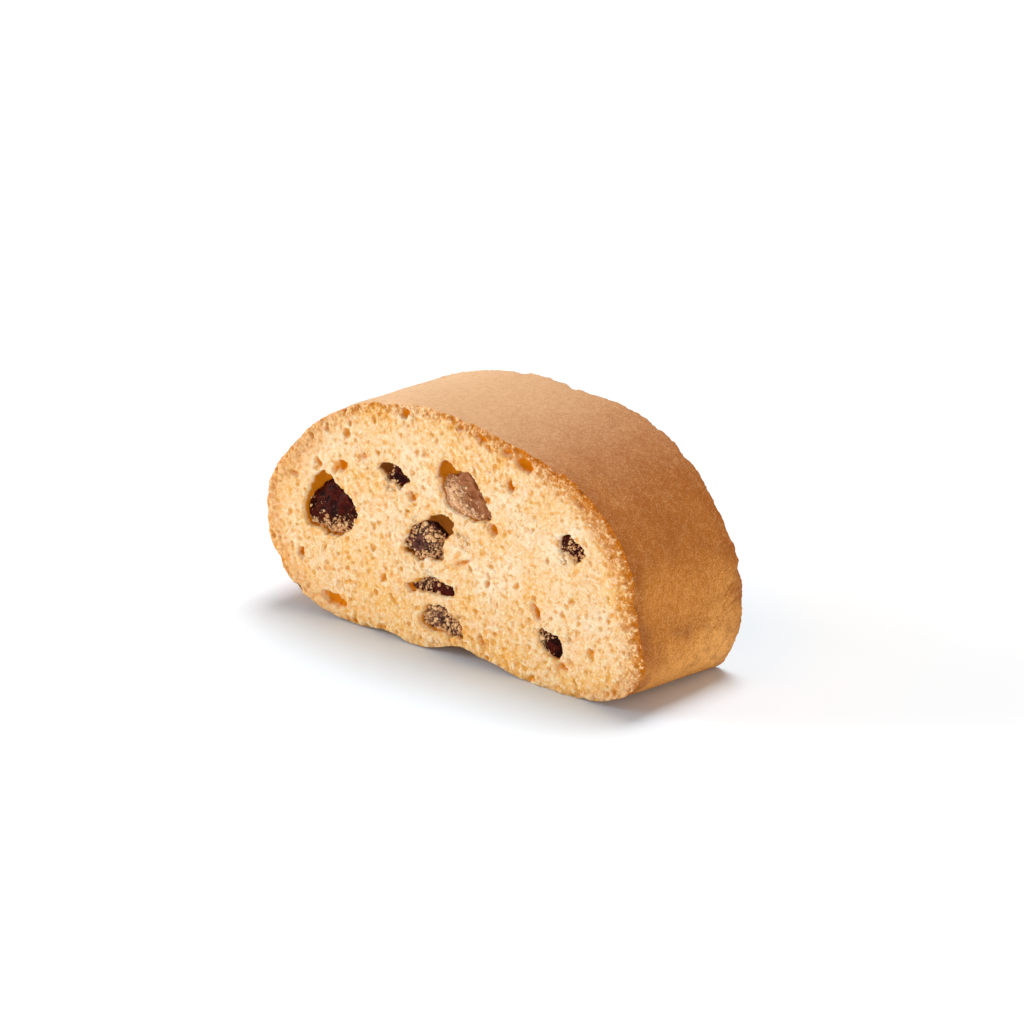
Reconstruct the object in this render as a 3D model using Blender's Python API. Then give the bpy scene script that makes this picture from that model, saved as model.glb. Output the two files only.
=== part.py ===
"""One slice of raisin biscotti, standing on its baked bottom with a cut face towards -Y.

The slice is the D-shaped section of a low loaf, carried across its thickness and a little different
at its two cuts. Raisin pockets and the larger pores are cut into both cut faces, and each raisin
that shows at a cut is a solid of its own, lying in its pocket.
"""

from math import radians

import bmesh
import bpy
import numpy as np
from mathutils import Matrix, Vector, noise

MM = 0.001  # metres in a millimetre: the sizes below are in millimetres

# The slice: its thickness, and how many cells its lattice has along, up and around the rim.
THICKNESS = 22.0
CELLS_ALONG = 36
CELLS_UP = 18
SAMPLES_PER_SPAN = 24
# Where the crust's rings stand, from the near cut (0) to the far cut (1).
RING_PLACES = (0.0, 0.035, 0.14, 0.28, 0.43, 0.57, 0.72, 0.86, 0.965, 1.0)

# The section, anticlockwise as seen from the near cut: x and height there, then at the far cut.
SECTION = (
    (12.0, 0.0, 12.0, 0.0),
    (24.0, 0.0, 25.0, 0.0),
    (29.6, 1.6, 30.6, 0.9),
    (33.6, 4.0, 33.2, 3.8),
    (35.7, 7.4, 34.7, 7.6),
    (34.3, 14.0, 35.0, 12.0),
    (33.0, 21.0, 33.3, 18.2),
    (29.5, 26.9, 30.3, 24.0),
    (23.6, 31.6, 25.6, 29.4),
    (14.7, 34.0, 16.4, 34.2),
    (4.8, 36.0, 6.5, 35.6),
    (-5.5, 36.7, -3.5, 36.3),
    (-14.1, 35.3, -13.0, 34.8),
    (-22.4, 31.8, -21.8, 31.4),
    (-29.3, 26.2, -28.8, 25.8),
    (-34.2, 20.0, -33.9, 19.6),
    (-35.7, 13.8, -35.2, 13.4),
    (-34.0, 8.0, -33.6, 7.4),
    (-29.9, 3.4, -29.4, 3.0),
    (-23.6, 0.9, -24.0, 0.7),
    (-16.5, 0.0, -18.0, 0.0),
    (-3.0, 0.0, -3.0, 0.0),
)
# The points of the section that part its bottom, right side, crown and left side.
LOW_RIGHT, HIGH_RIGHT, HIGH_LEFT, LOW_LEFT = 3, 8, 14, 18

# Hollows baked into the bottom: x, y, reach along x, reach along y, depth.
BOTTOM_HOLLOWS = (
    (1.9, -11.0, 4.6, 8.0, 2.2),
    (-12.0, -11.0, 3.6, 6.0, 0.8),
    (8.6, -11.0, 3.4, 5.0, 0.8),
    (-24.0, -2.0, 7.0, 7.0, 0.9),
    (-9.0, 6.0, 6.0, 4.0, 0.7),
    (14.0, 11.0, 6.0, 4.5, 0.9),
)
NEAR, FAR = -1, 1  # the two cut faces, by the sign of their y
BOTTOM_FADES_AT = 3.0  # the height up to which the bottom's hollows take the place of the swell

EVENING_SWEEPS = 400  # enough to spread a cut face's grid evenly
LEAST_EDGE = 0.01

# Relief of the crust and of the crumb: how deep, and over what length.
CRUST_SWELL, CRUST_SWELL_LENGTH, CRUST_SINK = 0.3, 11.0, 0.5
RIM_CHIP, RIM_CHIP_LENGTH = 0.7, 3.2
CRUMB_ROUGHNESS, CRUMB_LENGTH = 0.35, 3.0

# Raisins at the near cut: name, x, height, half length, half height, tilt in degrees,
# how far the front lies behind the cut, then the air beside it: x, height, half width, half height.
NEAR_RAISINS = (
    ("raisin_left", -23.0, 17.2, 5.0, 3.9, 3.0, 1.1, (-23.9, 20.3, 4.4, 3.2)),
    ("raisin_upper", -9.6, 24.9, 2.5, 1.9, -15.0, 0.5, (-11.4, 26.1, 2.0, 1.3)),
    ("raisin_crown", 3.0, 25.0, 4.4, 3.1, -29.0, 0.4, (-0.7, 27.9, 2.1, 2.2)),
    ("raisin_middle", -5.4, 16.2, 3.9, 3.0, 20.0, 0.3, (-1.4, 19.4, 2.8, 2.2)),
    ("raisin_thin", -2.6, 9.8, 3.8, 1.5, -4.0, 0.4, (-7.2, 9.2, 1.7, 0.8)),
    ("raisin_low", -1.2, 5.2, 3.7, 2.2, -17.0, 0.4, (-4.2, 4.6, 1.9, 1.7)),
    ("raisin_right", 21.8, 21.8, 2.5, 1.7, -33.0, 0.4, (21.0, 20.9, 1.4, 1.0)),
    ("raisin_corner", 18.2, 6.7, 2.6, 1.7, -40.0, 0.4, (19.6, 5.4, 1.4, 0.9)),
)
# Raisins at the far cut, in the same form.
FAR_RAISINS = (
    ("raisin_far_left", -23.5, 12.6, 3.8, 2.7, 20.0, 0.5, (-24.6, 15.0, 2.6, 1.7)),
    ("raisin_far_crown", -13.0, 25.4, 4.3, 2.9, -25.0, 0.4, (-10.6, 27.4, 2.2, 1.6)),
    ("raisin_far_middle", -2.5, 12.4, 4.6, 3.0, 10.0, 0.4, (-3.4, 15.0, 2.8, 1.7)),
    ("raisin_far_upper", 7.4, 27.2, 3.0, 2.2, 40.0, 0.5, (5.2, 27.6, 1.6, 1.3)),
    ("raisin_far_right", 15.0, 15.4, 4.1, 2.7, -15.0, 0.3, (17.4, 17.2, 2.0, 1.4)),
    ("raisin_far_corner", 25.6, 7.8, 2.6, 2.0, 30.0, 0.4, (24.4, 9.4, 1.4, 1.0)),
)
RAISIN_WRINKLE = 0.07  # of its radius
RAISIN_WRINKLES_PER_RADIUS = 2.2
RAISIN_DEPTH = 0.85  # its half depth, of its half height
RAISIN_SHALLOWEST = 1.6  # the least half depth
RAISIN_CENTRE_DEPTH = 0.55  # its middle lies this far behind the cut, of its half depth
RAISIN_LEAST_FRONT = 0.8  # and at least this far behind its own front
RAISIN_CLEARANCE = 0.32
RAISIN_ROWS = 7
AIR_DEPTH = 0.9  # the air pocket's depth, of its half height
AIR_ROWS = 6

# Pores at the near cut: x, height, half width, half height, tilt in degrees.
NEAR_PORES = (
    (14.2, 32.3, 1.9, 0.8, -4.0),
    (2.1, 35.2, 0.8, 0.6, 0.0),
    (6.0, 34.4, 1.4, 0.7, -13.0),
    (10.7, 33.4, 1.0, 0.6, 0.0),
    (8.3, 21.4, 0.9, 1.0, 0.0),
    (11.4, 28.7, 0.9, 1.2, 20.0),
    (16.0, 11.1, 1.7, 0.8, -62.0),
    (2.4, 15.0, 2.7, 0.5, 20.0),
    (-22.2, 3.2, 2.8, 0.7, -8.0),
    (-20.4, 24.3, 1.4, 1.0, 20.0),
    (-16.1, 26.7, 0.9, 0.6, 0.0),
    (-28.7, 8.9, 0.8, 1.1, 15.0),
    (-29.8, 20.9, 0.9, 0.6, -20.0),
    (-6.9, 22.6, 0.7, 1.0, 0.0),
    (20.9, 4.0, 1.4, 0.7, -7.0),
    (24.1, 29.0, 1.4, 0.6, -25.0),
    (6.1, 4.0, 1.3, 0.6, -63.0),
    (22.2, 8.4, 0.7, 0.5, 10.0),
)
PORE_DEPTH = 1.1  # of the mean of its half width and half height
PORE_SET_BACK = 0.15
PORE_ROWS, SCATTER_ROWS = 5, 4
# Smaller pores that a seeded rule spreads over each cut.
NEAR_SCATTER, FAR_SCATTER = 14, 30
SCATTER_SMALLEST, SCATTER_LARGEST = 0.6, 1.4
SCATTER_HEIGHTS = (0.55, 0.95)  # of the half width
SCATTER_TILT = 60.0
SCATTER_RIM = 0.06  # the share of the grid left clear along each edge
SCATTER_OFF_GRID = 0.6
PORE_GAP, RAISIN_MARGIN = 0.4, 1.0
SCATTER_SEED = 7

# Looks: linear colour and roughness.
CRUST_COLOUR, CRUST_SHEEN = (0.45, 0.215, 0.08), 0.62
CRUMB_COLOUR, CRUMB_SHEEN = (0.87, 0.63, 0.33), 0.85
RAISIN_COLOUR, RAISIN_SHEEN = (0.035, 0.012, 0.008), 0.4


def smooth_loop(points, steps):
    """A closed curve through the points, by cubics whose slopes weigh the spans on both sides."""
    ahead, behind = np.roll(points, -1, axis=0), np.roll(points, 1, axis=0)
    span = np.linalg.norm(ahead - points, axis=1, keepdims=True)
    before = np.roll(span, 1, axis=0)
    slope = ((ahead - points) / span * before + (points - behind) / before * span) / (span + before)
    t = np.linspace(0, 1, steps, endpoint=False)[None, :, None]
    leaving = (slope * span)[:, None]
    arriving = (np.roll(slope, -1, axis=0) * span)[:, None]
    curve = (2 * t**3 - 3 * t**2 + 1) * points[:, None] + (3 * t**2 - 2 * t**3) * ahead[:, None]
    curve = curve + (t**3 - 2 * t**2 + t) * leaving + (t**3 - t**2) * arriving
    return curve.reshape(-1, 2)


def even_stretch(loop, first, last, cells):
    """The loop from one of the section's points to another, as evenly spaced points, last left out."""
    run = loop[np.arange(first * SAMPLES_PER_SPAN, last * SAMPLES_PER_SPAN + 1) % len(loop)]
    walked = np.concatenate([[0], np.cumsum(np.linalg.norm(np.diff(run, axis=0), axis=1))])
    even = np.linspace(0, walked[-1], cells + 1)[:-1]
    return np.stack([np.interp(even, walked, run[:, axis]) for axis in range(2)], axis=1)


def bottom_hollow(x, y):
    """How far the bottom is hollowed at a place."""
    return sum(
        depth * np.exp(-(((x - at_x) / reach_x) ** 2) - ((y - at_y) / reach_y) ** 2)
        for at_x, at_y, reach_x, reach_y, depth in BOTTOM_HOLLOWS
    )


def noise_at(points, length, seed):
    """Smooth noise from -1 to 1 at each point, varying over the given length."""
    shift = Vector((seed * 17.3, seed * 5.1, seed * 11.7))
    return np.array([noise.noise(Vector(point) / length + shift) for point in points])


def section_ring(place):
    """The rim of the slice at one place across it, anticlockwise from its low left corner."""
    table = np.array(SECTION)
    points = table[:, :2] * (1 - place) + table[:, 2:] * place
    loop = smooth_loop(points, SAMPLES_PER_SPAN)
    ring = np.concatenate(
        [
            even_stretch(loop, LOW_LEFT, LOW_RIGHT + len(SECTION), CELLS_ALONG),
            even_stretch(loop, LOW_RIGHT, HIGH_RIGHT, CELLS_UP),
            even_stretch(loop, HIGH_RIGHT, HIGH_LEFT, CELLS_ALONG),
            even_stretch(loop, HIGH_LEFT, LOW_LEFT, CELLS_UP),
        ]
    )
    tangent = np.roll(ring, -1, axis=0) - np.roll(ring, 1, axis=0)
    outward = np.stack([tangent[:, 1], -tangent[:, 0]], axis=1)
    outward /= np.linalg.norm(outward, axis=1, keepdims=True)
    y = (place - 0.5) * THICKNESS
    placed = np.stack([ring[:, 0], np.full(len(ring), y), ring[:, 1]], axis=1)
    swell = (noise_at(placed, CRUST_SWELL_LENGTH, 1) - CRUST_SINK) * CRUST_SWELL
    if place in (0.0, 1.0):
        swell -= np.clip(noise_at(placed, RIM_CHIP_LENGTH, 2), 0, 1) * RIM_CHIP
    bottom = np.clip(1 - ring[:, 1] / BOTTOM_FADES_AT, 0, 1)
    ring = ring + outward * (swell * (1 - bottom))[:, None]
    ring[:, 1] = np.maximum(ring[:, 1], 0) + bottom_hollow(ring[:, 0], y) * bottom
    return np.stack([ring[:, 0], placed[:, 1], ring[:, 1]], axis=1)


def sides_of(ring):
    """A ring's bottom, right, top and left, each with both its corners, running right or up."""
    closed = np.concatenate([ring, ring[:1]])
    ends = np.cumsum([0, CELLS_ALONG, CELLS_UP, CELLS_ALONG, CELLS_UP])
    bottom, right, top, left = (closed[a : b + 1] for a, b in zip(ends[:-1], ends[1:]))
    return bottom, right, top[::-1], left[::-1]


def filled(ring):
    """A grid of points that fills a ring: each inner point comes to the middle of its neighbours.

    It starts from the blend of the four sides less that of the corners.
    """
    bottom, right, top, left = sides_of(ring)
    u = np.linspace(0, 1, CELLS_ALONG + 1)[:, None, None]
    v = np.linspace(0, 1, CELLS_UP + 1)[None, :, None]
    across = (1 - v) * bottom[:, None] + v * top[:, None]
    upward = (1 - u) * left[None] + u * right[None]
    corners = (1 - u) * ((1 - v) * bottom[0] + v * top[0]) + u * ((1 - v) * bottom[-1] + v * top[-1])
    grid = across + upward - corners
    for _ in range(EVENING_SWEEPS):
        around = grid[:-2, 1:-1] + grid[2:, 1:-1] + grid[1:-1, :-2] + grid[1:-1, 2:]
        grid[1:-1, 1:-1] = around / 4
    return grid


def roughened(grid, inward, seed):
    """The grid with its inner points moved into the slice, as a torn crumb is."""
    inner = grid[1:-1, 1:-1]
    flat = inner.reshape(-1, 3)
    depth = (0.5 + 0.5 * noise_at(flat, CRUMB_LENGTH, seed)) * CRUMB_ROUGHNESS
    flat = flat + np.outer(depth, (0, inward, 0))
    grid[1:-1, 1:-1] = flat.reshape(inner.shape)
    return grid


def lattice_faces(ids):
    """The quads of a grid of vertex numbers."""
    a, b, c, d = ids[:-1, :-1], ids[1:, :-1], ids[1:, 1:], ids[:-1, 1:]
    return np.stack([a, b, c, d], axis=-1).reshape(-1, 4)


def rim_ids(ring_ids, inner_start):
    """Vertex numbers of a filled grid whose border is a ring and whose inside starts at a number."""
    ids = np.empty((CELLS_ALONG + 1, CELLS_UP + 1), int)
    ids[:, 0], ids[-1], ids[:, -1], ids[0] = sides_of(ring_ids)
    inside = ids[1:-1, 1:-1]
    ids[1:-1, 1:-1] = inner_start + np.arange(inside.size).reshape(inside.shape)
    return ids


def material(name, colour, roughness):
    """A plain material of one colour."""
    made = bpy.data.materials.new(name)
    made.use_nodes = True
    shader = made.node_tree.nodes["Principled BSDF"]
    shader.inputs["Base Color"].default_value = (*colour, 1)
    shader.inputs["Roughness"].default_value = roughness
    return made


def add_object(name, mesh, collection=None):
    """A new object in the scene, or in the given collection, whose objects are only cutters."""
    made = bpy.data.objects.new(name, mesh)
    (collection or bpy.context.scene.collection).objects.link(made)
    if collection:
        made.hide_render, made.display_type = True, "WIRE"
    return made


def slice_object(crust, crumb):
    """The uncut slice: rings for the crust, and a filled, roughened grid for each cut face."""
    rings = [section_ring(place) for place in RING_PLACES]
    near = roughened(filled(rings[0]), 1, 3)
    far = roughened(filled(rings[-1]), -1, 4)
    around = len(rings[0])
    ring_ids = np.arange(len(rings) * around).reshape(len(rings), around)
    near_ids = rim_ids(ring_ids[0], ring_ids.size)
    far_ids = rim_ids(ring_ids[-1], near_ids.max() + 1)
    points = np.concatenate([*rings, near[1:-1, 1:-1].reshape(-1, 3), far[1:-1, 1:-1].reshape(-1, 3)])
    wrapped = np.concatenate([ring_ids, ring_ids[:, :1]], axis=1)
    parts = [lattice_faces(wrapped), lattice_faces(near_ids), lattice_faces(far_ids)[:, ::-1]]
    mesh = bpy.data.meshes.new("biscuit")
    mesh.from_pydata((points * MM).tolist(), [], np.concatenate(parts).tolist())
    mesh.materials.append(crust)
    mesh.materials.append(crumb)
    for polygon in mesh.polygons[len(parts[0]) :]:
        polygon.material_index = 1
    shape = bmesh.new()
    shape.from_mesh(mesh)
    bmesh.ops.recalc_face_normals(shape, faces=shape.faces)
    shape.to_mesh(mesh)
    shape.free()
    return add_object("biscuit", mesh)


def cut_y(side):
    """The y of a cut face: side is -1 for the near one and 1 for the far one."""
    return side * THICKNESS / 2


def lump(name, centre, radii, tilt, rows, collection=None):
    """A smooth ellipsoid with its poles along x, tilted about y and placed by its object."""
    shape = bmesh.new()
    bmesh.ops.create_uvsphere(shape, u_segments=rows + rows // 2, v_segments=rows, radius=1)
    bmesh.ops.rotate(shape, verts=shape.verts, matrix=Matrix.Rotation(radians(90), 3, "Y"))
    bmesh.ops.scale(shape, verts=shape.verts, vec=Vector(radii) * MM)
    mesh = bpy.data.meshes.new(name)
    shape.to_mesh(mesh)
    shape.free()
    made = add_object(name, mesh, collection)
    made.location = Vector(centre) * MM
    made.rotation_euler = (0, -radians(tilt), 0)
    return made


def raisin(entry, side, seed, skin, pockets):
    """One raisin, flatter towards the cut face than behind, and the two cutters of its pocket."""
    name, x, height, long, high, tilt, recess, (air_x, air_height, air_long, air_high) = entry
    radii = np.array([long, max(high * RAISIN_DEPTH, RAISIN_SHALLOWEST), high])
    depth = max(radii[1] * RAISIN_CENTRE_DEPTH, recess + RAISIN_LEAST_FRONT)
    centre = (x, cut_y(side) - side * depth, height)
    made = lump(name, centre, radii, tilt, RAISIN_ROWS)
    for vertex in made.data.vertices:
        place = vertex.co.normalized() * RAISIN_WRINKLES_PER_RADIUS + Vector((seed * 3.7, 0, 0))
        vertex.co *= 1 + RAISIN_WRINKLE * noise.noise(place)
        if vertex.co.y * side > 0:
            vertex.co.y *= (depth - recess) / radii[1]
    made.data.materials.append(skin)
    around = radii * (1 + RAISIN_WRINKLE) + RAISIN_CLEARANCE
    lump(name + "_pocket", centre, around, tilt, RAISIN_ROWS, pockets)
    air_centre = (air_x, cut_y(side), air_height)
    air_radii = (air_long, air_high * AIR_DEPTH, air_high)
    lump(name + "_air", air_centre, air_radii, tilt, AIR_ROWS, pockets)
    return made


def scattered_pores(grid, raisins, pores, count, rng):
    """Small pores spread over a cut face by a seeded draw, clear of its raisins and larger pores."""
    taken = [(entry[1], entry[2], entry[3] + RAISIN_MARGIN) for entry in raisins]
    taken += [(x, height, long) for x, height, long, _, _ in pores]
    found = []
    while len(found) < count:
        u, v = rng.uniform(SCATTER_RIM, 1 - SCATTER_RIM, 2)
        spot = grid[round(u * CELLS_ALONG), round(v * CELLS_UP)]
        x, height = spot[[0, 2]] + rng.uniform(-SCATTER_OFF_GRID, SCATTER_OFF_GRID, 2)
        long = SCATTER_SMALLEST + (SCATTER_LARGEST - SCATTER_SMALLEST) * rng.random() ** 2
        high, tilt = long * rng.uniform(*SCATTER_HEIGHTS), rng.uniform(-SCATTER_TILT, SCATTER_TILT)
        if all(np.hypot(x - at, height - up) > reach + long + PORE_GAP for at, up, reach in taken):
            found.append((x, height, long, high, tilt))
            taken.append((x, height, long))
    return found


def cut_pores(pores, side, rows, pockets):
    """A cutter for each pore, set in the cut face."""
    for x, height, long, high, tilt in pores:
        centre = (x, cut_y(side) - side * PORE_SET_BACK, height)
        deep = PORE_DEPTH * (long + high) / 2
        lump("pore", centre, (long, deep, high), tilt, rows, pockets)


def weld(mesh):
    """Joins points that lie closer together than the least edge."""
    shape = bmesh.new()
    shape.from_mesh(mesh)
    bmesh.ops.remove_doubles(shape, verts=shape.verts, dist=LEAST_EDGE * MM)
    bmesh.ops.triangulate(shape, faces=shape.faces)
    shape.to_mesh(mesh)
    shape.free()


def cut_out(body, pockets):
    """Takes the cutters' shapes out of the body, and removes the cutters."""
    cut = body.modifiers.new("pockets", "BOOLEAN")
    cut.operation, cut.solver = "DIFFERENCE", "EXACT"
    cut.operand_type, cut.collection = "COLLECTION", pockets
    bpy.context.view_layer.update()
    evaluated = body.evaluated_get(bpy.context.evaluated_depsgraph_get())
    carved = bpy.data.meshes.new_from_object(evaluated)
    body.modifiers.remove(cut)
    body.data = carved
    weld(carved)
    for cutter in list(pockets.objects):
        bpy.data.objects.remove(cutter)
    bpy.data.collections.remove(pockets)


def centre_on_base(objects):
    """Moves everything so that the slice's box is centred on the origin and stands on the floor."""
    body = objects[0]
    corners = np.array([vertex.co for vertex in body.data.vertices])
    low, high = corners.min(axis=0), corners.max(axis=0)
    shift = Vector((-(low[0] + high[0]) / 2, -(low[1] + high[1]) / 2, -low[2]))
    for vertex in body.data.vertices:
        vertex.co += shift
    for moved in objects[1:]:
        moved.location += shift


def main():
    """Clears the scene and builds the slice and its raisins."""
    for old in list(bpy.data.objects):
        bpy.data.objects.remove(old)
    crust = material("crust", CRUST_COLOUR, CRUST_SHEEN)
    crumb = material("crumb", CRUMB_COLOUR, CRUMB_SHEEN)
    skin = material("raisin_skin", RAISIN_COLOUR, RAISIN_SHEEN)
    body = slice_object(crust, crumb)
    pockets = bpy.data.collections.new("pockets")
    bpy.context.scene.collection.children.link(pockets)
    raisins = [
        raisin(entry, side, number, skin, pockets)
        for side, entries in ((NEAR, NEAR_RAISINS), (FAR, FAR_RAISINS))
        for number, entry in enumerate(entries)
    ]
    rng = np.random.default_rng(SCATTER_SEED)
    near_grid, far_grid = filled(section_ring(0.0)), filled(section_ring(1.0))
    near_scatter = scattered_pores(near_grid, NEAR_RAISINS, NEAR_PORES, NEAR_SCATTER, rng)
    far_scatter = scattered_pores(far_grid, FAR_RAISINS, (), FAR_SCATTER, rng)
    cut_pores(NEAR_PORES, NEAR, PORE_ROWS, pockets)
    cut_pores(near_scatter, NEAR, SCATTER_ROWS, pockets)
    cut_pores(far_scatter, FAR, SCATTER_ROWS, pockets)
    cut_out(body, pockets)
    centre_on_base([body, *raisins])


main()
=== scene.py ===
"""The looks of a raisin biscotti slice: crust, crumb, raisins and the crumbs that cling to them.

Everything is worked out in millimetres in the slice's own frame: x along the slice, y from the near
cut to the far cut, and height above the surface that it rests on. Meshes are stored in metres.
"""

import logging
import math
from dataclasses import dataclass, field
from enum import Enum
from itertools import combinations
from typing import Callable, Iterator

import bpy
import numpy as np
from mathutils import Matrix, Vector

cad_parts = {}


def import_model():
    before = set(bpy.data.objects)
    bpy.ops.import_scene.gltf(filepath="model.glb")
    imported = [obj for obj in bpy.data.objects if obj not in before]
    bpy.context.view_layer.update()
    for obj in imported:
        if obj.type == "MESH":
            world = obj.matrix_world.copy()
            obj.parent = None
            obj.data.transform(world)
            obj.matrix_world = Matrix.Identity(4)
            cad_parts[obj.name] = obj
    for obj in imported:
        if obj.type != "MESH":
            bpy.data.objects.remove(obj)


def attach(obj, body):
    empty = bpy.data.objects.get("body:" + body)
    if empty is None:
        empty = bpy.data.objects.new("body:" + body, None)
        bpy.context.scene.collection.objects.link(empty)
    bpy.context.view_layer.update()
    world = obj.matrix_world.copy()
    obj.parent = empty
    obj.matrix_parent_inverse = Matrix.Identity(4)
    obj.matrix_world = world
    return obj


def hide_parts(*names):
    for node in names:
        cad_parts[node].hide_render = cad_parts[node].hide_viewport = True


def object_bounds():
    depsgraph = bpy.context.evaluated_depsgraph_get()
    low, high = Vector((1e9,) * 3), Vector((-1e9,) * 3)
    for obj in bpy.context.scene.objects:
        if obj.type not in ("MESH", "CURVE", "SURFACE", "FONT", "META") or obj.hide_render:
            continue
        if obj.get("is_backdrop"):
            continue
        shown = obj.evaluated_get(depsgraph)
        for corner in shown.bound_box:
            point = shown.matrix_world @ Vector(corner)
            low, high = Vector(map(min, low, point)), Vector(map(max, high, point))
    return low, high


MM = 0.001  # metres in a millimetre
THICKNESS = 22.0
NEAR, FAR = -1, 1  # the two cut faces, by the sign of their y
AT_ONCE = 4096  # places whose distances are worked out together, to spare memory

log = logging.getLogger("biscotti")

Array = np.ndarray


# Noise on arrays of points.

HASH_FACTORS = np.array([0x9E3779B97F4A7C15, 0xC2B2AE3D27D4EB4F, 0x165667B19E3779F9], np.uint64)
HASH_SEED_FACTOR = 0xD6E8FEB86659FD93
HASH_STIRS = ((30, 0xBF58476D1CE4E5B9), (27, 0x94D049BB133111EB))  # shift and factor
NOISE_GAIN = 1.6  # brings gradient noise to about -1 to 1


def hashed(cells: Array, seed: int) -> Array:
    """Random numbers from 0 to 1, one for each row of whole numbers.

    Each row's numbers are multiplied by large odd numbers, added, and stirred by shifts.

    Args:
        cells: whole numbers, the last axis holding one cell's own.
        seed: tells one draw from another.

    Returns:
        One number for each cell.
    """
    mixed = (cells.astype(np.int64).astype(np.uint64) * HASH_FACTORS[: cells.shape[-1]]).sum(axis=-1)
    mixed = mixed + np.uint64((seed * HASH_SEED_FACTOR) % 2**64)
    for shift, factor in HASH_STIRS:
        mixed = (mixed ^ (mixed >> np.uint64(shift))) * np.uint64(factor)
    return (mixed >> np.uint64(64 - 53)).astype(float) / 2**53


def gradient_noise(points: Array, length: float, seed: int) -> Array:
    """Smooth noise of about -1 to 1.

    Each corner of a point's lattice cell has a random slope. The value is the blend, by
    6t^5 - 15t^4 + 10t^3 along each axis, of each slope times the step from its corner.

    Args:
        points: places in millimetres, the last axis x, y, z.
        length: the lattice's cell size in millimetres.
        seed: tells one noise from another.

    Returns:
        One value for each point.
    """
    scaled = points / length
    low = np.floor(scaled)
    step = scaled - low
    blend = step**3 * (step * (step * 6 - 15) + 10)
    total = np.zeros(points.shape[:-1])
    for corner in np.ndindex(2, 2, 2):
        offset = np.array(corner)
        share = np.prod(np.where(offset, blend, 1 - blend), axis=-1)
        slope = np.stack([hashed(low + offset, seed * 3 + axis) for axis in range(3)], axis=-1) * 2 - 1
        total += share * (slope * (step - offset)).sum(axis=-1)
    return total * NOISE_GAIN


def layered_noise(points: Array, length: float, layers: int, seed: int) -> Array:
    """Gradient noise summed over layers, each half as long and half as strong as the last."""
    return sum(gradient_noise(points, length / 2**k, seed + k) / 2**k for k in range(layers))


def nearby_cells(x: Array, z: Array, spacing: float) -> Iterator[Array]:
    """The square cells round each place on a cut face, its own among them: nine draws of one each."""
    home = np.stack([np.floor(x / spacing), np.floor(z / spacing)], axis=-1)
    for step in np.ndindex(3, 3):
        yield home + np.array(step) - 1


def in_ellipse(x: Array, z: Array, halves: tuple[Array | float, ...], turn: Array | float) -> Array:
    """One less the squared distance from an ellipse's middle in terms of its half sizes, at least 0.

    Args:
        x: steps from the middle along the slice.
        z: steps from the middle upwards.
        halves: half its length and half its width.
        turn: how far it is turned, in radians.

    Returns:
        1 at the middle, and 0 at the rim and outside.
    """
    along = (x * np.cos(turn) + z * np.sin(turn)) / halves[0]
    across = (z * np.cos(turn) - x * np.sin(turn)) / halves[1]
    return np.clip(1 - along**2 - across**2, 0, 1)


@dataclass(frozen=True)
class Foam:
    """Pits scattered one to a square cell over a cut face, as gas bubbles leave them."""

    spacing: float
    share: float  # of the cells that hold a pit
    radii: tuple[float, float]  # of the spacing
    flatness: tuple[float, float]  # its height over its width
    depth: float  # of the smaller radius
    seed: int
    steepness: float = 0.6  # 0.5 gives the walls of an ellipse, 1 those of a shallow dish

    def depths(self, x: Array, z: Array) -> Array:
        """The deepest pit at each place: a power of 1 less the squared distance from its middle.

        Args:
            x: places along the slice.
            z: their heights.

        Returns:
            How far the surface lies behind the cut.
        """
        found = np.zeros(x.shape)
        for cell in nearby_cells(x, z, self.spacing):
            aside, above, size, turn, chance, flat = (hashed(cell, self.seed * 7 + k) for k in range(6))
            radius = self.spacing * (self.radii[0] + (self.radii[1] - self.radii[0]) * size**2)
            squeeze = self.flatness[0] + (self.flatness[1] - self.flatness[0]) * flat
            away_x = x - (cell[..., 0] + aside) * self.spacing
            away_z = z - (cell[..., 1] + above) * self.spacing
            halves, angle = (radius, radius * squeeze), (turn - 0.5) * math.pi
            inside = in_ellipse(away_x, away_z, halves, angle) ** self.steepness
            found = np.maximum(found, inside * radius * squeeze * self.depth * (chance < self.share))
        return found


@dataclass(frozen=True)
class Grains:
    """Rounded grains of crumb packed over a cut face, some standing out and some set back."""

    spacing: float
    setback: float  # of the spacing, for the grain that lies deepest
    roundness: float  # how steeply a grain falls away from its top
    seed: int

    def depths(self, x: Array, z: Array) -> Array:
        """The shallowest grain at each place: its own setback plus its squared distance by roundness.

        Args:
            x: places along the slice.
            z: their heights.

        Returns:
            How far the surface lies behind the foremost grain's top.
        """
        found = np.full(x.shape, np.inf)
        for cell in nearby_cells(x, z, self.spacing):
            aside, above, back = (hashed(cell, self.seed * 5 + k) for k in range(3))
            away_x = x / self.spacing - cell[..., 0] - aside
            away_z = z / self.spacing - cell[..., 1] - above
            depth = self.setback * back**2 + self.roundness * (away_x**2 + away_z**2)
            found = np.minimum(found, depth)
        return found * self.spacing


# Grid surfaces and meshes.


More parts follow.
